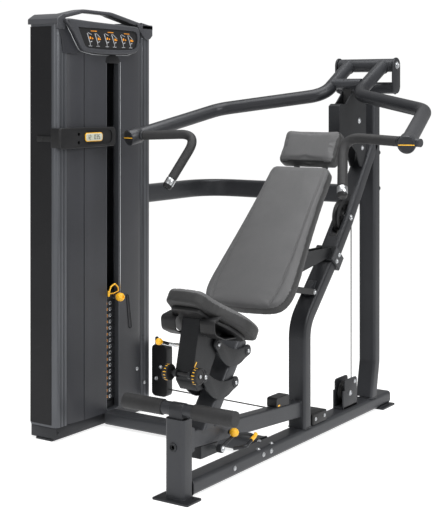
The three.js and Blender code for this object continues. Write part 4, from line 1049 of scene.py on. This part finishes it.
for side, s in (("left", -1), ("right", 1)):
    g = [(s * 700, 601, 1302), (s * 345, 663, 1315), (s * 412, 532, 1103)]
    g0 = (Vector(g[1]) - Vector(g[0])).normalized()
    start = Vector((s * 606, 618, 1304.7)) + g0 * 0.3
    gv = (Vector(g[2]) - Vector(g[1])).normalized()
    rA = Vector(g[2]) - gv * 30
    line = [Vector(p) for p in fillet([tuple(start), g[1], tuple(rA)], 62, 16)]
    dense = []
    for i in range(len(line) - 1):
        L = (line[i + 1] - line[i]).length
        k = max(1, int(L / 2.4))
        dense += [line[i].lerp(line[i + 1], j / k) for j in range(k)]
    dense.append(line[-1])
    n_ = len(dense); rr = []
    for i in range(n_):
        e = min(i, n_ - 1 - i)
        base_r = 20.0 if e > 4 else (17.6, 19.0, 19.7, 19.9, 20.0)[e]
        if 5 <= e:
            base_r -= 0.45 if (i // 1) % 2 else 0.0
        rr.append(base_r)
    B().tube(dense, rr, 32).done("hand_grip_sleeve_" + side, "rubber", "press_arm", repl="hand_grip_" + side, sharp=60)
    b = B()
    b.lathe(rA + gv * 0.3, gv, [(0, 18.5), (1.0, 20.2), (2.2, 20.9), (26.8, 20.9), (28.4, 20.2), (29.4, 18.6)], 44)
    b.done("grip_collar_" + side, "steel", "press_arm", repl="grip_end_" + side)
    b = B().lathe(Vector(g[2]) - gv * 0.6, gv, [(0, 18), (0.6, 20.4), (3, 20.4), (8, 19.4), (13, 17.4), (16, 14), (16.4, 9), (15.6, 6)], 40)
    b.done("grip_plug_" + side, "black", "press_arm")
    b = B()
    c0 = Vector((s * 606, 618, 1304.7)); ax = -g0
    b.lathe(c0 - ax * 1.0, ax, [(0, 17), (0.8, 19.6), (2.4, 20.6), (9, 20.6), (10.6, 19.4), (11, 16.4)], 40)
    b.lathe(c0 + ax * 14.0, ax, [(0, 16.2), (0.8, 18.2), (6, 18.2), (7, 16.2)], 40)
    b.done("grip_collar_inner_" + side, "darkmetal", "press_arm")

# Dark strips laid on the cross tube where its slots are: painted shade of the openings.
b = B()
for x in (-12, 10):
    pts = [(cc[0] + r * math.cos(rad(q)), cc[1] + r * math.sin(rad(q))) for r, qs in ((24.5, range(92, 151, 6)), (23.2, range(150, 91, -6))) for q in qs]
    b.prism(pts, "X", x - 2.2, x + 2.2)
b.done("cross_tube_slot_shade", "facia", "press_arm")
b = B()
b.prism(rrect(-20, 20, 1262, 1516, 1.2, 2), "Y", 1349.5, 1354.5)
b.pipe((-20, cc[0], cc[1]), (1, 0, 0), [(0, 9), (0, 16), (1, 17), (39, 17), (40, 16), (40, 9)], 40)
b.done("lift_belt", "cable", "lift_strap", repl="lift_strap")

# ------------------------------------------------------------------ upper pulley housing
keep("pulley_housing", "darkmetal", 1.6, 38, 2)
b = B()
for s in (-1, 1):
    for p in ((1410, 1362), (1322, 1288), (1440, 1236)):
        bolt(b, (s * 29, p[0], p[1]), (s, 0, 0), 8 if p != (1410, 1362) else 10, 6)
for z in (1208, 1040):
    hexbolt(b, (30, 1602, z), (0, 1, 0), 8, 6)
    hexbolt(b, (-30, 1602, z), (0, 1, 0), 8, 6)
b.done("housing_bolts", "steel")
def pulley(name, node, body, c, R, hw_, hub, holes=5, hub_hw=18):
    b = B()
    p = (-hw_, c[0], c[1])
    W = 2 * hw_
    b.lathe(p, (1, 0, 0), [(0, R * 0.30), (0, R * 0.86), (-0.2 if False else 0.4, R * 0.97), (1.6, R), (3.2, R - 0.6), (W * 0.32, R - 7), (W * 0.44, R - 9), (W * 0.56, R - 9), (W * 0.68, R - 7), (W - 3.2, R - 0.6), (W - 1.6, R), (W - 0.4, R * 0.97), (W, R * 0.86), (W, R * 0.30)], 64)
    o = b.done(name, "black", body, repl=node)
    cuts = []
    for s in (-1, 1):
        cb = B().pipe((s * (hw_ - 5), c[0], c[1]), (s, 0, 0), [(0, R * 0.36), (0, R * 0.74), (9, R * 0.78), (9, R * 0.32)], 48)
        cuts.append(cb)
    for i in range(holes):
        q = 2 * math.pi * i / holes
        cuts.append(B().lathe((-hw_ - 2, c[0] + R * 0.55 * math.cos(q), c[1] + R * 0.55 * math.sin(q)), (1, 0, 0), [(0, R * 0.12), (2 * hw_ + 4, R * 0.12)], 24))
    cut(o, *cuts)
    o.data.set_sharp_from_angle(angle=rad(34))
    b = B().lathe((-hub_hw, c[0], c[1]), (1, 0, 0), [(0, hub * 0.8), (1, hub), (2 * hub_hw - 1, hub), (2 * hub_hw, hub * 0.8)], 32)
    b.done(name + "_hub", "steel", body)
pulley("upper_sheave", "upper_pulley", "upper_pulley", UPP, 52, 14, 13, 5, 20)
pulley("leg_sheave", "leg_pulley", "leg_pulley", LEGP, 78, 14, 15, 6, 18.4)
pulley("floor_sheave", "floor_pulley", "floor_pulley", FLOORP, 50, 12, 12, 5, 19.5)
b = B()
for s in (-1, 1):
    bolt(b, (s * 42, LEGP[0], LEGP[1]), (s, 0, 0), 10, 7)
    bolt(b, (s * 27, FLOORP[0], FLOORP[1]), (s, 0, 0), 9, 6)
    bolt(b, (s * 27, 1370, 176), (s, 0, 0), 7, 5)
b.done("pulley_axle_bolts", "steel")
b = B()
fp = fillet([(1262, 66.3), (1262, 150), (1276, 150), (1276, 196), (1392, 196), (1392, 66.3)], [3, 3, 16, 16], 5)
for s in (-1, 1):
    b.prism(fp, "X", min(s * 20, s * 27), max(s * 20, s * 27), 1.2)
b.prism(rrect(-27, 27, 1262, 1392, 3), "Z", 66.3, 76)
b.done("floor_pulley_cheeks", "frame", repl="floor_pulley_bracket")
b = B().tube([(0, 1385.8, 140), (0, 1385.8, 520), (0, 1385.8, 918)], 2.5, 12)
b.done("cable_up", "cable", repl="vertical_cable")
b = B().tube([(-762, 1022, 101), (-390, 1022, 94.7), (-22, 1022, 89)], 3, 12)
b.done("cable_across", "cable", repl="cross_cable")

# ------------------------------------------------------------------ weight tower
b = B()
b.prism(rrect(336, 992, 8, 60, 6), "X", -1002, -860, 2.5)
for y in (352, 960):
    b.prism(rrect(-975, -880, y - 18, y + 18, 6), "Z", 0, 9, 1.5)
b.prism(rrect(-946, -876, 580, 830, 8), "Z", 58, 96, 2)
for y in (352, 960):
    hexbolt(b, (-862, y, 34), (1, 0, 0), 7, 5)
b.done("tower_base_frame", "frame", repl="tower_base")
b = B()
b.prism(rrect(-944, -878, 585, 825, 10), "Z", 96, 107.7, 3)
b.done("stack_bumper", "rubber")

def grooved(y0, y1, x_near, grooves, depth, r):
    """Plan outline of a column: rounded outer corners, with long grooves in its near side."""
    pts = []
    pts += [(TX0 + r + r * math.cos(q), y0 + r + r * math.sin(q)) for q in [rad(180 + 90 * i / 10) for i in range(11)]]
    pts += [(x_near - r + r * math.cos(q), y0 + r + r * math.sin(q)) for q in [rad(270 + 90 * i / 10) for i in range(11)]]
    for g0, g1 in grooves:
        pts += [(x_near, g0), (x_near - depth, g0 + 1.2), (x_near - depth, g1 - 1.2), (x_near, g1)]
    pts += [(x_near, y1), (TX0, y1)]
    return pts
b = B().prism(grooved(330, 396, -852, ((357, 361), (376, 381)), 5, 22), "Z", 60.3, 1783.7)
b.done("front_column_shell", "column", repl="tower_front_column", sharp=28)
b = B().prism(rrect(-1000, -880, 327.6, 331.5, 1.6, 3), "Z", 70, 1774)
b.done("front_column_facia", "facia", bevel=0.8)
col = [(x, y) for x, y in rrect(TX0, -854, 926, 998, 24, 10)]
b = B().prism(col, "Z", 60.3, 1783.7)
b.done("rear_column_shell", "column", repl="tower_rear_column")
# two vertical joint lines on the rear column
b = B()
for y in (938, 962):
    b.prism(rrect(-855, -853.4, y - 1.1, y + 1.1, 0.5, 2), "Z", 66, 1740)
b.done("rear_column_ribs", "facia")

# caps and carrying handle
b = B()
b.prism([(326, 1784), (326, 1806), (334, 1812), (366, 1829), (380, 1828), (380, 1784)], "X", -1014, -842, 4, 4)
b.done("front_column_cap", "hood", repl="top_handle")
b = B()
b.prism([(326, 1766), (340, 1762), (374, 1762), (380, 1768), (380, 1786), (326, 1786)], "X", -853, -844, 2.5, 3)
b.prism([(920, 1784), (920, 1815), (1002, 1802), (1002, 1784)], "X", -1014, -846, 4, 4)
b.prism([(884, 1806), (1000, 1806), (1001, 1758), (984, 1742), (962, 1734), (940, 1742), (905, 1776)], "X", -858, -846, 4, 3)
b.done("rear_column_cap", "hood")
arch = fillet([(372, 1818), (520, 1849), (700, 1846), (952, 1800)], [320, 320], 18)
rings = []
for i, p in enumerate(arch):
    a, c = arch[max(0, i - 1)], arch[min(len(arch) - 1, i + 1)]
    d = (c[0] - a[0], c[1] - a[1]); l = math.hypot(*d); nn = (-d[1] / l, d[0] / l)
    t = i / (len(arch) - 1)
    hh = 11 - 3.5 * math.sin(math.pi * t)
    wx = 0 + 5 * math.cos(math.pi * t) ** 2
    rings.append([(x, p[0] + nn[0] * v, p[1] + nn[1] * v) for v, x in rrect(-hh, min(hh, 8.5), -908 - wx, -862 + wx, 6.5, 5)])
B().loft(rings).done("carry_handle", "hood")

# far shroud
b = B().prism([(-1008, 398), (-1004, 398), (-1000, 430), (-998, 520), (-997, 660), (-998, 800), (-1000, 890), (-1004, 924), (-1008, 924), (-1003, 880), (-1001, 660), (-1003, 440)][::-1], "Z", 60.3, 1699)
b.done("far_shroud_panel", "shroud", repl="back_shroud")

# near shroud: bowed panel, soft shoulder, panel joint and the tall slot
out_l = [(-884, 398), (-874, 399), (-866, 404), (-860, 414), (-856, 430), (-853, 450), (-850.5, 474), (-848, 500), (-847.4, 503.5), (-850.5, 505), (-850.5, 507.5), (-846.6, 509), (-845.4, 540), (-844.4, 580), (-844, 640), (-844, 740), (-844.6, 800), (-846.4, 850), (-849.5, 890), (-853, 912), (-858, 922), (-866, 924)]
in_l = [(-880, 924), (-872, 908), (-866, 880), (-862, 840), (-860, 790), (-859, 740), (-859, 640), (-860, 580), (-862, 540), (-866, 500), (-870, 450), (-876, 420)]
b = B().prism(out_l + in_l, "Z", 60.3, 1720)
sh_o = b.done("near_shroud_panel", "shroud", repl="front_shroud", sharp=26)
cut(sh_o, B().prism(rrect(656, 743, 66, 1630, 12, 6), "X", -900, -820))
sh_o.data.polygons.foreach_set("use_smooth", [True] * len(sh_o.data.polygons))
sh_o.data.set_sharp_from_angle(angle=rad(26))
# edge trim round the slot: a rolled lip. The steel strip on its rear side is a painted highlight.
lip = []
for y, z in rrect(656, 743, 66, 1630, 12, 8):
    lip.append((y, z))
b = B()
pts = lip + [lip[0]]
inner = inset(lip[::1], 2.2)
def lip_ring(x, k):
    return [(x, y, z) for y, z in inset(lip, k)]
b.loft([lip_ring(-845.5, -3.2), lip_ring(-843.2, -2.0), lip_ring(-842.9, -0.4), lip_ring(-844.0, 1.6), lip_ring(-862, 2.4), lip_ring(-868, 2.6), lip_ring(-868, 0.2), lip_ring(-850, -0.2), lip_ring(-847, -2.2)], caps=False, loop=True)
b.done("slot_trim", "column", sharp=40)
# Steel strip on the slot's rear wall: a painted highlight.
b = B().prism([(-846.4, 757), (-842.4, 754), (-860, 742.4), (-866, 742.0), (-868, 744)], "Z", 560, 1628, 0.8, 2)
b.done("slot_wall_painted_highlight", "steel")
# Dark plate standing for the thumb recess at the top of the slot: painted shade of the hollow.
b = B().prism([(648, 1628), (654, 1646), (668, 1656), (692, 1659), (716, 1658), (736, 1652), (746, 1640), (748, 1630), (740, 1622), (655, 1622)], "X", -845.2, -842.6, 1.0, 2)
b.done("slot_thumb_recess_shade", "facia")
# embossed loop beside the selector, screws near the foot
b = B()
loop = [Vector((-842.9, y, z)) for y, z in capsule((806, 560), (826, 420), 7, 9, 10)]
loop_d = []
for i in range(len(loop)):
    loop_d.append(loop[i])
rings = []
for i, p in enumerate(loop_d):
    t = (loop_d[(i + 1) % len(loop_d)] - loop_d[i - 1]).normalized(); u = Vector((1, 0, 0)); w_ = t.cross(u)
    rings.append([tuple(p + (u * math.cos(2 * math.pi * j / 8) + w_ * math.sin(2 * math.pi * j / 8)) * 1.5) for j in range(8)])
b.loft(rings, loop=True)
b.done("embossed_loop", "facia")
b = B()
bolt(b, (-848.5, 884, 214), (1, 0, 0), 7, 4)
bolt(b, (-854, 948, 138), (1, 0, 0), 7, 4)
b.done("shroud_screws", "steel")

# placard hood: swept bezel over the top of the shroud
hood = [(470, 1676), (493, 1668), (568, 1662), (684, 1660), (804, 1665), (842, 1672), (858, 1684), (867, 1704), (872, 1730), (873, 1758), (869, 1780), (852, 1791), (800, 1794), (700, 1797), (560, 1801), (440, 1806), (380, 1808), (362, 1800), (384, 1776), (410, 1751), (432, 1726), (450, 1700)]
hood = smooth_closed(hood, 3)
b = B().prism(hood, "X", -846, -821, 9, 7)
hd = b.done("hood_bezel", "hood", repl="placard_hood", sharp=50)
# the shroud's shoulder runs up beside the front column to meet the hood
sho = smooth_closed([(404, 1660), (372, 1660), (364, 1690), (358, 1722), (346, 1752), (340, 1780), (348, 1800), (372, 1806), (420, 1802), (520, 1796), (520, 1700), (470, 1660)], 3)
B().prism(sho, "X", -853, -847, 2.4, 4).done("shroud_shoulder", "shroud")
# steel tube along the hood's swept edge: a painted highlight line
edge = fillet([(368, 1806), (410, 1752), (451, 1697), (474, 1671), (560, 1659), (684, 1656.5), (806, 1661), (852, 1672)], [60, 60, 30, 60, 60, 60], 8)
B().tube([(-845.5, y, z) for y, z in edge], 2.0, 10).done("hood_edge_painted_highlight", "steel")
plac = smooth_closed([(438, 1772), (456, 1738), (476, 1704), (490, 1690), (520, 1685), (640, 1681), (790, 1685), (832, 1691), (846, 1702), (852, 1726), (850, 1752), (840, 1766), (800, 1771), (640, 1773), (500, 1773), (458, 1773)], 3)
cut(hd, B().prism(plac, "X", -826.5, -800))
hd.data.polygons.foreach_set("use_smooth", [True] * len(hd.data.polygons))
hd.data.set_sharp_from_angle(angle=rad(40))
b = B().prism(inset(plac, 0.4), "X", -828, -825.2, 0.6, 2)
b.done("placard_plate", "black", repl="placard", slot="placard_print")
grey, oran = B(), B()
def chip(b_, pts):
    b_.prism(pts, "X", -825.4, -824.6)
def bar(b_, p, q, w):
    dx, dy = q[0] - p[0], q[1] - p[1]; l = math.hypot(dx, dy); nx, ny = -dy / l * w / 2, dx / l * w / 2
    chip(b_, [(p[0] + nx, p[1] + ny), (q[0] + nx, q[1] + ny), (q[0] - nx, q[1] - ny), (p[0] - nx, p[1] - ny)])
for k in range(3):
    y0 = 508 + k * 116
    bar(oran, (y0 + 16, 1760 - k * 1.5), (y0 + 56, 1760 - k * 1.5), 3.2)
    for j in range(2):
        y = y0 + j * 52
        bar(grey, (y - 8, 1750), (y + 12, 1706), 4.6)      # reclined back
        bar(grey, (y + 10, 1710), (y + 26, 1716), 3.6)     # seat
        bar(grey, (y + 12, 1706), (y + 14, 1694), 2.6)     # post
        bar(grey, (y + 2, 1694), (y + 26, 1694), 2.2)      # foot
        bar(grey, (y - 2, 1752), (y + 22 + 8 * j, 1744 - 12 * j), 2.4)  # moving arm
        chip(oran, circle((y + 13 + 4 * j, 1730 - 3 * j), 5.6, 18))
        ax_, az_ = y + 30, 1728 - 2 * j
        chip(oran, [(ax_ - 5, az_ - 4.5), (ax_ + 5, az_), (ax_ - 5, az_ + 4.5)])
grey.done("placard_icons_grey", "ink")
oran.done("placard_icons_orange", "orange")

# repetition counter
b = B()
band = [(470, 1252), (464, 1250), (682, 1250), (694, 1262), (694, 1326), (682, 1338), (470, 1338)]
side_pts = [(322, 1250), (330, 1248), (680, 1252), (692, 1263), (695, 1294), (692, 1326), (680, 1337), (332, 1340), (322, 1336)]
b.prism(side_pts, "X", -843.3, -821, 4.0, 4)
cb = b.done("counter_side", "black", repl="counter_band", sharp=40)
cut(cb, B().lathe((-900, 440, 1310), (1, 0, 0), [(0, 8), (100, 8)], 28), B().lathe((-900, 440, 1274), (1, 0, 0), [(0, 8), (100, 8)], 28),
    B().prism(rrect(476, 668, 1266, 1326, 26, 8), "X", -825, -800))
cb.data.polygons.foreach_set("use_smooth", [True] * len(cb.data.polygons))
cb.data.set_sharp_from_angle(angle=rad(36))
b = B()
b.prism(rrect(-876, -826, 318.5, 331, 5, 4), "Z", 1254, 1338, 2.0)
b.prism(rrect(-956, -870, 320, 329.4, 2.5, 3), "Z", 1280, 1304, 1.2)
b.prism(rrect(-926, -920, 318.8, 322, 1.2, 2), "Z", 1280, 1304, 0.5)
b.done("counter_front_arm", "black")
b = B().prism(rrect(484, 600, 1277, 1315, 13, 8), "X", -826, -820.4, 1.0, 3)
b.done("counter_glow_rim", "yellow")
b = B().prism(rrect(487, 597, 1280, 1312, 11, 8), "X", -822, -819.2, 0.8, 2)
b.done("counter_screen", "screen", repl="counter_display")
b = B()
def seg7(b_, y, z, w, h, lit):
    t = 2.4
    segs = {"a": ((y, z + h), (y + w, z + h)), "g": ((y, z + h / 2), (y + w, z + h / 2)), "d": ((y, z), (y + w, z)),
            "f": ((y, z + h / 2), (y, z + h)), "b": ((y + w, z + h / 2), (y + w, z + h)), "e": ((y, z), (y, z + h / 2)), "c": ((y + w, z), (y + w, z + h / 2))}
    for s_ in lit:
        p, q = segs[s_]
        dx, dy = q[0] - p[0], q[1] - p[1]; l = math.hypot(dx, dy); nx, ny = -dy / l * t / 2, dx / l * t / 2
        b_.prism([(p[0] + nx, p[1] + ny), (q[0] + nx, q[1] + ny), (q[0] - nx, q[1] - ny), (p[0] - nx, p[1] - ny)], "X", -819.4, -818.7)
for i, lit in enumerate(("bc", "abged", "abcdef", "abgcd", "afgcd")):
    seg7(b, 496 + i * 14 + (18 if i > 1 else 0), 1287, 8.5, 18, lit)
b.done("counter_digits", "digit")

# guide rods, stack, head plate, cable, selector
SX0, SX1, RX, PY = -966, -866, -916, 707.5
b = B()
b.prism(rrect(-990, -888, 396.3, 925.7, 4), "Z", 1722, 1783.7, 1.5)
b.done("rod_header", "darkmetal")
b = B()
for y in (605, 805):
    b.lathe((RX, y, 100), (0, 0, 1), [(0, 9.2), (1, 10), (1628, 10)], 28)
b.done("guide_rod_pair", "chrome", repl="guide_rods")
b = B()
for i in range(16):
    z = 108 + i * 28
    b.prism(rrect(560, 850, z, z + 27, 3.0, 3), "X", SX0, SX1, 1.6, 2)
b.done("stack_plates", "iron", repl="weight_stack")
b = B()
for i in range(16):
    z = 108 + i * 28 + 13.5
    b.lathe((SX1 - 1, PY, z), (1, 0, 0), [(0, 8.6), (1.4, 8.6), (1.8, 7.8), (1.8, 5.6), (0.2, 5.0)], 24)
b.done("stack_pin_bushes", "steel")
for k in range(16):
    lb = str((16 - k) * 5)
    tx = bpy.data.curves.new("stack_no_" + lb, "FONT")
    tx.body = lb; tx.size = 17 * MM; tx.extrude = 0.3 * MM; tx.align_x = "CENTER"; tx.align_y = "CENTER"
    to = bpy.data.objects.new("stack_no_" + lb, tx); COL.objects.link(to)
    to.rotation_euler = (rad(90), 0, rad(90))
    to.location = ((SX1 + 0.2) * MM, 683 * MM, (108 + k * 28 + 13.5) * MM)
    bpy.context.view_layer.update()
    dg = bpy.context.evaluated_depsgraph_get()
    me = bpy.data.meshes.new_from_object(to.evaluated_get(dg))
    me.transform(to.matrix_world)
    bpy.data.objects.remove(to)
    o = bpy.data.objects.new("stack_number_" + lb, me); COL.objects.link(o)
    me.materials.clear(); me.materials.append(M["orange"])
    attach(o, "frame")
b = B()
b.prism(rrect(560, 850, 556.4, 590, 4, 3), "X", SX0, SX1, 2.2, 3)
b.lathe((RX, PY, 560), (0, 0, 1), [(0, 10), (60, 10), (62, 14), (80, 14), (84, 10), (86, 5)], 32)
b.done("head_plate_body", "iron", "head_plate", repl="head_plate")
b = B().tube([(RX, PY, 646.4 + i * (1721.7 - 646.4) / 10) for i in range(11)], 3, 14)
cab = b.done("lift_cable_run", "cable", "frame", repl="lift_cable")
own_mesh(cab)
PZ = 573
b = B()
b.lathe((-920, PY, PZ), (1, 0, 0), [(0, 3.5), (3, 5), (96, 5)], 24)
b.lathe((-846, PY, PZ), (1, 0, 0), [(0, 8), (1, 9.5), (18, 9.5), (20, 8)], 28)
b.done("selector_shaft", "steel", "selector_pin")
b = B()
b.lathe((-826, PY, PZ), (1, 0, 0), [(0, 9), (2, 13.5), (7, 17.2), (14, 19), (22, 19), (29, 17.2), (34, 13.4), (36.4, 9.0), (36.4, 6.4), (31, 5.6), (30, 1)], 40)
b.done("selector_knob", "yellow", "selector_pin", repl="selector_pin")
# wire loop above the selector: a tethered catch
lp = fillet([(-838, 664, 590), (-832, 672, 622), (-832, 700, 632), (-834, 726, 612), (-838, 732, 594)], 10, 6)
b = B().tube(lp, 3.4, 16)
b.tube([(-838, 664, 591), (-838, 698, 588), (-838, 732, 595)], 2.6, 14)
b.lathe((-838, 664, 578), (0, 0, 1), [(0, 4), (1, 5), (24, 5), (25, 4)], 20)
b.done("selector_catch", "yellow", "selector_pin")
b = B().tube(fillet([(-838, 698, 586), (-846, 702, 580), (-850, 707.5, 575)], 4, 4), 3.2, 12)
b.done("selector_catch_arm", "black", "selector_pin")

# pulley box at the foot of the tower
b = B()
b.prism(rrect(-853, -764, 66, 308, 22, 8), "Y", 1000.6, 1046, 3)
b.lathe((-838, 1023, 302), (0, 0, 1), [(0, 9), (30, 9), (36, 8), (38, 6)], 28)
pb = b.done("tower_pulley_shell", "black", repl="tower_pulley_box")
# Dark capsule on the pulley box face where its slot is: painted shade of the opening.
b = B()
b.prism(capsule((-804, 176), (-804, 236), 2.6, 2.6, 8), "Y", 999.4, 1001.0)
b.done("tower_pulley_slot_shade", "facia")
b = B()
bolt(b, (-800, 1000.6, 206), (0, -1, 0), 7, 9)
bolt(b, (-826, 1000.6, 150), (0, -1, 0), 7, 9)
b.done("tower_pulley_bolts", "steel")
for nn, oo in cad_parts.items():
    if not oo.hide_render and not oo.modifiers:
        keep(nn, "frame", 0.8)


# ------------------------------------------------------------------ floor, light
fl = B()
fl.add([(-9000, -9000, -0.3), (9000, -9000, -0.3), (9000, 9000, -0.3), (-9000, 9000, -0.3)], [(0, 1, 2, 3)])
me = fl.mesh("floor")
floor = bpy.data.objects.new("floor", me); COL.objects.link(floor)
n = N("floor_paint")
n.colour(n.mix(n.ramp(n.noise(1.2, 3.0), [(0.3, 0.0), (0.7, 1.0)]), (0.49, 0.49, 0.49), (0.52, 0.52, 0.52)))
n.rough(n.noise(8.0, 3.0), 0.75, 0.9)
n.b.inputs["Emission Color"].default_value = (1, 1, 1, 1)
n.b.inputs["Emission Strength"].default_value = 0.78
me.materials.append(n.m)
w = bpy.data.worlds.new("studio"); bpy.context.scene.world = w; w.use_nodes = True
wt = w.node_tree; bg = wt.nodes["Background"]
lpn = wt.nodes.new("ShaderNodeLightPath"); mr = wt.nodes.new("ShaderNodeMapRange")
mr.inputs["To Min"].default_value = 0.42; mr.inputs["To Max"].default_value = 1.02
wt.links.new(lpn.outputs["Is Camera Ray"], mr.inputs["Value"]); wt.links.new(mr.outputs["Result"], bg.inputs["Strength"])
bg.inputs["Color"].default_value = (1, 1, 1, 1)

def area(name, loc, target, size, power, size_y=None):
    l = bpy.data.lights.new(name, "AREA"); l.energy = power; l.size = size
    if size_y:
        l.shape = "RECTANGLE"; l.size_y = size_y
    o = bpy.data.objects.new(name, l); COL.objects.link(o)
    o.location = loc
    o.rotation_euler = (Vector(target) - Vector(loc)).to_track_quat("-Z", "Y").to_euler()
    return o
area("top_soft", (0.2, 0.6, 4.8), (-0.2, 0.8, 0.4), 3.4, 190)
area("key_right", (3.4, 0.2, 3.0), (-0.4, 0.8, 0.9), 1.8, 90)
area("front_fill", (0.2, -4.6, 2.4), (-0.2, 0.8, 0.9), 2.2, 36)
bpy.context.scene.view_settings.view_transform = "Standard"
bpy.context.scene.view_settings.look = "None"
bpy.context.scene.view_settings.exposure = 0.0
